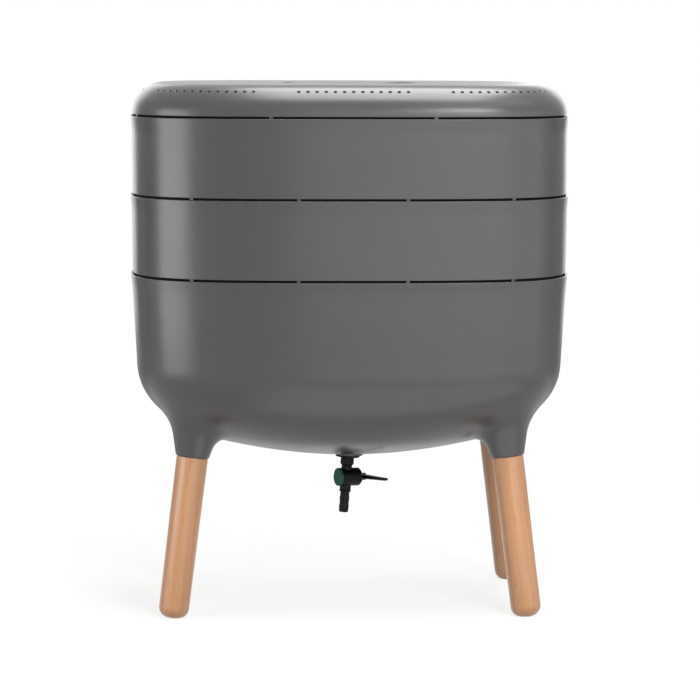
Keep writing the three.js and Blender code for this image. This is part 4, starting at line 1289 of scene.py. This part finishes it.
# Painted shade: the near-black grey and the extra roughness of the faces marked as lying in shade.
PAINTED_SHADE_GREY, PAINTED_SHADE_ROUGHNESS = 0.004, 0.5
BEECH_ROUGHNESS, LATE_ROUGHNESS = 0.36, 0.06
RUBBER_ROUGHNESS, STEEL_ROUGHNESS = 0.72, 0.28
SATIN_IOR, FAINT_IOR = 1.55, 1.25
CLOUD_SHARE, FLOW_SHARE = 0.7, 0.3
LATE_SHARE, FIBRE_SHARE, FLECK_SHARE, FLECK_DEPTH = 0.55, 0.35, 0.45, 0.5
GRAIN_WANDER = 0.02
BLOOM_SHADES, STAIN_SHADE = (0.8, 1.3), 0.82


def grey(value):
    return (value, value, value)


def shaded(colour, share):
    return tuple(np.array(colour) * share)


def swing(noise, amount):
    """How far a noise is from its middle, times an amount."""
    return (noise - NOISE_MIDDLE) * amount


def is_number(side):
    return side.socket.type == "VALUE" if isinstance(side, Wire) else isinstance(side, (int, float))


class Wire:
    """An output socket whose Python operators add the nodes that work them out."""

    def __init__(self, tree, socket):
        self.tree, self.socket = tree, socket

    def _joined(self, operation, first, second):
        kind = "Math" if is_number(first) and is_number(second) else "VectorMath"
        return self.tree.add(kind, {0: first, 1: second}, operation=operation)

    def __add__(self, other):
        return self._joined("ADD", self, other)

    def __radd__(self, other):
        return self._joined("ADD", other, self)

    def __sub__(self, other):
        return self._joined("SUBTRACT", self, other)

    def __rsub__(self, other):
        return self._joined("SUBTRACT", other, self)

    def __mul__(self, other):
        return self._joined("MULTIPLY", self, other)

    def __rmul__(self, other):
        return self._joined("MULTIPLY", other, self)


class Tree:
    """A material's or the room's nodes."""

    def __init__(self, name, holder=None):
        self.material = holder or bpy.data.materials.new(name)
        self.material.use_nodes = True
        self.nodes = self.material.node_tree.nodes
        self.links = self.material.node_tree.links
        self.nodes.clear()

    def add(self, kind, sockets=None, output=0, **settings):
        """Adds a node: its settings first, then the values or wires of its sockets. Returns an output."""
        node = self.nodes.new(f"ShaderNode{kind}")
        for name, value in settings.items():
            setattr(node, name, value)
        for key, value in (sockets or {}).items():
            socket = self.socket(node, key)
            if isinstance(value, Wire):
                self.links.new(value.socket, socket)
            elif socket.type == "RGBA" and len(value) == 3:
                socket.default_value = (*value, 1)
            elif socket.type == "VECTOR" and isinstance(value, (int, float)):
                socket.default_value = grey(value)
            else:
                socket.default_value = value
        return Wire(self, node.outputs[output])

    def socket(self, node, key):
        if isinstance(key, int):
            return node.inputs[key]
        return next(s for s in node.inputs if key in (s.identifier, s.name))

    def spot(self):
        return self.add("TexCoord", output="Object")

    def ray(self, kind):
        return self.add("LightPath", output=f"Is {kind} Ray")

    def blend(self, factor, first, second):
        """A mix of two colours."""
        sockets = {"Factor_Float": factor, "A_Color": first, "B_Color": second}
        return self.add("Mix", sockets, MIX_COLOUR, data_type="RGBA")

    def between(self, wire, low, high):
        """A number from 0 at low to 1 at high, smoothly."""
        sockets = {"Value": wire, "From Min": low, "From Max": high}
        return self.add("MapRange", sockets, interpolation_type="SMOOTHSTEP")

    def noise(self, spot, scale, detail=2.0, roughness=0.5, stretch=None):
        if stretch is not None:
            spot = spot * stretch
        sockets = {"Vector": spot, "Scale": scale, "Detail": detail, "Roughness": roughness}
        return self.add("TexNoise", sockets)

    def surface(self, sockets, height, strength, distance, ior=1.5):
        """A surface with a bump."""
        bumped = {"Height": height, "Strength": strength, "Distance": distance}
        sockets = {"IOR": ior, **sockets, "Normal": self.add("Bump", bumped)}
        self.finish(self.add("BsdfPrincipled", sockets))
        return self.material

    def finish(self, shader, output="OutputMaterial"):
        output = self.nodes.new(f"ShaderNode{output}")
        self.links.new(shader.socket, output.inputs["Surface"])


def plastic_material(name, shade, roughness, grain, mottling, ior=SATIN_IOR):
    """Moulded plastic: a satin skin with faint mottling, a fine spark-eroded grain and slight flow marks,
    with painted shade where faces are marked for it.
    """
    tree = Tree(name)
    spot = tree.spot()
    cloud = tree.noise(spot, scale=9, detail=3)
    fine = tree.noise(spot, scale=1400)
    flow = tree.noise(spot, scale=4, stretch=(1, 1, 6))
    tone = tree.between(cloud * CLOUD_SHARE + flow * FLOW_SHARE, low=0.3, high=0.7)
    base = tree.blend(tone, shaded(shade, 1 - mottling), shaded(shade, 1 + mottling))
    rough = roughness + swing(cloud, amount=0.12) + swing(fine, amount=0.05)
    # Painted shade: marked faces turn near black and rougher, and Metallic takes away their gloss, to stand
    # in for shade in grooves and under the bowl.
    painted_shade = tree.add("Attribute", output="Fac", attribute_name="painted_shade")
    base = tree.blend(painted_shade, base, grey(PAINTED_SHADE_GREY))
    sockets = {"Base Color": base, "Roughness": rough + painted_shade * PAINTED_SHADE_ROUGHNESS, "Metallic": painted_shade}
    return tree.surface(sockets, fine, strength=grain, distance=0.3 * MM, ior=ior)


def beech_material(finishes):
    """Oiled beech: straight grain along the leg, darker late wood and short dark ray flecks."""
    tree = Tree("oiled_beech")
    spot = tree.spot()
    wander = tree.noise(spot, scale=9, stretch=(1, 1, 0.25))
    ring_spot = spot + wander * GRAIN_WANDER
    bands = tree.noise(ring_spot, scale=60, detail=3, roughness=0.6, stretch=(1, 1, 0.06))
    fibres = tree.noise(spot, scale=520, detail=3, roughness=0.6, stretch=(1, 1, 0.03))
    flecks = tree.noise(spot, scale=620, detail=1, roughness=0.4, stretch=(1, 1, 0.12))
    late = tree.between(bands, low=0.42, high=0.68)
    fleck = tree.between(flecks, low=0.69, high=0.78)
    dark = tuple(finishes.wood_dark)
    base = tree.blend(late * LATE_SHARE, tuple(finishes.wood), dark)
    base = tree.blend(tree.between(fibres, low=0.45, high=0.8) * FIBRE_SHARE, base, dark)
    base = tree.blend(fleck * FLECK_SHARE, base, tuple(finishes.wood_fleck))
    rough = BEECH_ROUGHNESS + late * LATE_ROUGHNESS + swing(fibres, amount=0.12)
    sockets = {"Base Color": base, "Roughness": rough, "Coat Weight": 0.6, "Coat Roughness": 0.25}
    return tree.surface(sockets, fibres - fleck * FLECK_DEPTH, strength=0.25, distance=0.2 * MM)


def rubber_material(shade):
    """Soft black rubber with a faint dusty bloom."""
    tree = Tree("soft_rubber")
    bloom = tree.noise(tree.spot(), scale=240, detail=3)
    base = tree.blend(bloom, *(shaded(shade, share) for share in BLOOM_SHADES))
    sockets = {"Base Color": base, "Roughness": RUBBER_ROUGHNESS + swing(bloom, amount=0.2)}
    return tree.surface(sockets, bloom, strength=0.2, distance=0.2 * MM)


def steel_material(shade):
    """Zinc-plated steel with fine brushing and slight staining."""
    tree = Tree("plated_steel")
    spot = tree.spot()
    brushed = tree.noise(spot, scale=900, stretch=(1, 1, 0.1))
    stain = tree.noise(spot, scale=160, detail=3)
    stained = tree.between(stain, low=0.4, high=0.7)
    base = tree.blend(stained, tuple(shade), shaded(shade, STAIN_SHADE))
    rough = STEEL_ROUGHNESS + swing(brushed, amount=0.2) + swing(stain, amount=0.1)
    sockets = {"Base Color": base, "Roughness": rough, "Metallic": 1.0}
    return tree.surface(sockets, brushed, strength=0.15, distance=0.1 * MM)


FINISHES = {
    "moulded_plastic": lambda f: plastic_material(
        "satin_plastic", f.plastic, roughness=0.29, grain=0.1, mottling=0.02
    ),
    "tap_black": lambda f: plastic_material(
        "black_plastic", f.black, roughness=0.42, grain=0.05, mottling=0.12, ior=FAINT_IOR
    ),
    "tap_green": lambda f: plastic_material(
        "green_plastic", f.green, roughness=0.38, grain=0.05, mottling=0.08, ior=FAINT_IOR
    ),
    "beech": beech_material,
    "rubber": lambda f: rubber_material(f.rubber),
    "screw_steel": lambda f: steel_material(f.steel),
}
finished = {}


def finish_material(slot):
    """The material of a slot, made once."""
    if slot not in finished:
        finished[slot] = FINISHES[slot](bpy.context.scene.worm_finishes)
    return finished[slot]


class WORMERY_OT_hidden_pieces(Operator):
    """Gives the pieces that stay as they are, such as seals and leg screws, their finish"""

    bl_idname = "wormery.hidden_pieces"
    bl_label = "Seals and screws"

    def execute(self, context):
        slots = {part["node"]: part["material_slot"] for part in frame["record"]["subparts"]}
        for node, piece in frame["nodes"].items():
            if not piece.hide_render:
                for holder in piece.material_slots:
                    holder.material = finish_material(slots[node])
        return {"FINISHED"}


# Stage

SENSOR_WIDTH = 36
WHITE_LAMP_WATTS = 4
FLOOR_REACH = 8
FLOOR_GREYS, FLOOR_WHITE = (0.33, 0.37), 0.95
SHADOW_FADE = (0.35, 1.0)
REAR_FADE, REAR_DULLING = (0.35, 0.7), 0.85
FLAG_AZIMUTH, FLAG_DISTANCE, FLAG_SIZE, FLAG_GREYS = 113, 1.3, (0.4, 1.1), (0.5, 0.6)
TUB_MIDDLE, TRAY_MIDDLE = (0, 0, 0.4), (0, 0, 0.6)


def upright(width, height):
    half = width / 2
    return [(-half, 0, 0), (half, 0, 0), (half, 0, height), (-half, 0, height)]


def stage_sheet(name, corners, material, matrix=None):
    """A flat sheet that belongs to the stage."""
    mesh = bpy.data.meshes.new(name)
    mesh.from_pydata(corners, [], [(0, 1, 2, 3)])
    mesh.materials.append(material)
    sheet = bpy.data.objects.new(name, mesh)
    if matrix is not None:
        sheet.matrix_world = matrix
    bpy.context.scene.collection.objects.link(sheet)
    return sheet


def softbox(name, brightness, azimuth, elevation, distance, size, aim=TUB_MIDDLE, in_gloss=True):
    """A rectangular lamp that faces a point. Its azimuth runs from the front to the right, in degrees."""
    turn, rise = math.radians(azimuth), math.radians(elevation)
    way = Vector((math.sin(turn) * math.cos(rise), -math.cos(turn) * math.cos(rise), math.sin(rise)))
    light = bpy.data.lights.new(name, "AREA")
    light.shape = "RECTANGLE"
    light.size, light.size_y = size
    light.energy = WHITE_LAMP_WATTS * size[0] * size[1] * brightness
    lamp = bpy.data.objects.new(name, light)
    lamp.matrix_world = Matrix.Translation(Vector(aim) + way * distance) @ (
        Matrix.Rotation(turn, 4, "Z") @ Matrix.Rotation(math.pi / 2 - rise, 4, "X")
    )
    lamp.visible_camera = False
    lamp.visible_glossy = in_gloss
    bpy.context.scene.collection.objects.link(lamp)


def flag(name, azimuth):
    """An upright grey cloth that only gloss shows, as set beside an object to keep its sides dark."""
    tree = Tree(name)
    weave = tree.noise(tree.spot(), scale=300)
    cloth = tree.blend(weave, *(grey(value) for value in FLAG_GREYS))
    tree.finish(tree.add("BsdfDiffuse", {"Color": cloth}))
    turn = Matrix.Rotation(math.radians(azimuth), 4, "Z") @ Matrix.Translation((0, -FLAG_DISTANCE, 0))
    sheet = stage_sheet(name, upright(*FLAG_SIZE), tree.material, turn)
    sheet.visible_camera = sheet.visible_diffuse = sheet.visible_shadow = False
    sheet.visible_transmission = False


def seen_rays(tree):
    """1 for the rays that should see the plain white background, and 0 for the rest."""
    rays = tree.ray("Camera") + tree.ray("Glossy") + tree.ray("Transmission")
    return tree.add("Clamp", {"Value": rays})


def floor_material(stage):
    """White for the camera with some of the object's shadow, and duller far behind in what gloss shows."""
    tree = Tree("white_floor")
    spot, camera, glossy = tree.spot(), tree.ray("Camera"), tree.ray("Glossy")
    shade = tree.blend(tree.noise(spot, scale=3), *(grey(value) for value in FLOOR_GREYS))
    lit = tree.add("BsdfDiffuse", {"Color": tree.blend(camera, shade, grey(FLOOR_WHITE))})
    plain = tree.add("Emission", {"Color": grey(1), "Strength": 1.0})
    away = tree.add("VectorMath", {0: spot}, "Value", operation="LENGTH")
    near = 1 - tree.between(away, *SHADOW_FADE)
    depth = tree.add("SeparateXYZ", {"Vector": spot}, "Y")
    behind = tree.between(depth, *REAR_FADE) * glossy
    share = seen_rays(tree) * (1 - near * camera * stage.shadow) * (1 - behind * REAR_DULLING)
    tree.finish(tree.add("MixShader", {0: share, 1: lit, 2: plain}))
    return tree.material


class WORMERY_OT_stage(Operator):
    """Builds the floor, the lights, the white room and the camera"""

    bl_idname = "wormery.stage"
    bl_label = "Stage"

    def execute(self, context):
        scene = context.scene
        stage = scene.worm_stage
        corners = [(x * FLOOR_REACH, y * FLOOR_REACH, 0) for x, y in ((-1, -1), (1, -1), (1, 1), (-1, 1))]
        stage_sheet("floor", corners, floor_material(stage))
        self.room(scene, stage)
        self.lights(stage)
        self.camera(scene, stage)
        scene.view_settings.view_transform = "Standard"
        return {"FINISHED"}

    def room(self, scene, stage):
        """A white room for the camera and for gloss, and a dimmer one for all other light."""
        world = bpy.data.worlds.new("white_room")
        scene.world = world
        world.use_nodes = True
        tree = Tree(world.name, world)
        seen = {"Value": seen_rays(tree), "To Min": stage.ambient}
        sockets = {"Color": grey(1), "Strength": tree.add("MapRange", seen)}
        tree.finish(tree.add("Background", sockets), "OutputWorld")

    def lights(self, stage):
        """The lamps: each one's brightness, azimuth, elevation, distance, size and aim."""
        front, side = stage.front, stage.side
        softbox("overhead_softbox", stage.overhead, 0, 91, 1.45, (1.0, 1.8), (0.24, -0.05, 0.6))
        softbox("left_strip", stage.strip, -64, 2, 1.05, (0.58, 0.76), (0, 0, 0.455))
        softbox("right_front_softbox", 0.5 * front, 24, 20, 2.5, (1.2, 1.0), TRAY_MIDDLE, False)
        softbox("right_front_strip", 1.3 * front, 24, 19, 2.5, (1.0, 0.45), TRAY_MIDDLE)
        softbox("right_front_panel", side, 20, 3, 1.25, (1.05, 0.9))
        softbox("right_side_panel", 0.75 * side, 60, 3, 1.25, (0.9, 0.9))
        softbox("right_high_softbox", side, 48, 42, 1.6, (1.5, 0.6), TRAY_MIDDLE)
        softbox("left_fill", stage.fill, -60, -8, 1.1, (0.8, 0.3), (0, 0, 0.2), False)
        softbox("floor_reflector", 0.6 * side, 0, -90, 0.58, (0.8, 0.5), (0.25, -0.5, 0.6))
        flag("left_flag", -FLAG_AZIMUTH)
        flag("right_flag", FLAG_AZIMUTH)
        softbox("rear_left_panel", stage.rim, -155, 10, 2.4, (1.2, 1.6))
        softbox("rear_right_panel", stage.rim, 155, 10, 2.4, (1.2, 1.6))

    def camera(self, scene, stage):
        """The camera at the photograph's place and angle."""
        lens = bpy.data.cameras.new("photo_camera")
        lens.lens = stage.lens / MM
        lens.sensor_width = SENSOR_WIDTH
        lens.shift_y = stage.shift
        eye = bpy.data.objects.new("photo_camera", lens)
        eye.matrix_world = (
            Matrix.Translation((stage.eye_x, stage.eye_y, stage.eye_z))
            @ Matrix.Rotation(-stage.pan, 4, "Z")
            @ Matrix.Rotation(math.pi / 2 - stage.pitch, 4, "X")
            @ Matrix.Rotation(stage.roll, 4, "Z")
        )
        scene.collection.objects.link(eye)
        scene.camera = eye


class WORMERY_PT_panel(Panel):
    """Lists the sizes, the colours and the steps that build the pieces"""

    bl_idname = "WORMERY_PT_panel"
    bl_label = "Worm composter"
    bl_space_type = "VIEW_3D"
    bl_region_type = "UI"
    bl_category = "Worm composter"

    def draw(self, context):
        for name, group in SETTINGS.items():
            box = self.layout.box()
            box.label(text=group.__name__)
            for field in group.__annotations__:
                box.prop(getattr(context.scene, name), field)
        for operator in OPERATORS:
            self.layout.operator(operator.bl_idname)


OPERATORS = [
    WORMERY_OT_stage,
    WORMERY_OT_tub,
    WORMERY_OT_sieve,
    WORMERY_OT_trays,
    WORMERY_OT_lid,
    WORMERY_OT_legs,
    WORMERY_OT_tap_body,
    WORMERY_OT_tap_lever,
    WORMERY_OT_hidden_pieces,
]


def register():
    for kind in [*SETTINGS.values(), *OPERATORS, WORMERY_PT_panel]:
        bpy.utils.register_class(kind)
    for name, group in SETTINGS.items():
        setattr(bpy.types.Scene, name, PointerProperty(type=group))


def unregister():
    for name in SETTINGS:
        delattr(bpy.types.Scene, name)
    for kind in [WORMERY_PT_panel, *reversed(OPERATORS), *reversed(SETTINGS.values())]:
        bpy.utils.unregister_class(kind)


def main():
    register()
    for operator in OPERATORS:
        group, name = operator.bl_idname.split(".")
        getattr(getattr(bpy.ops, group), name)()


if __name__ == "__main__":
    main()
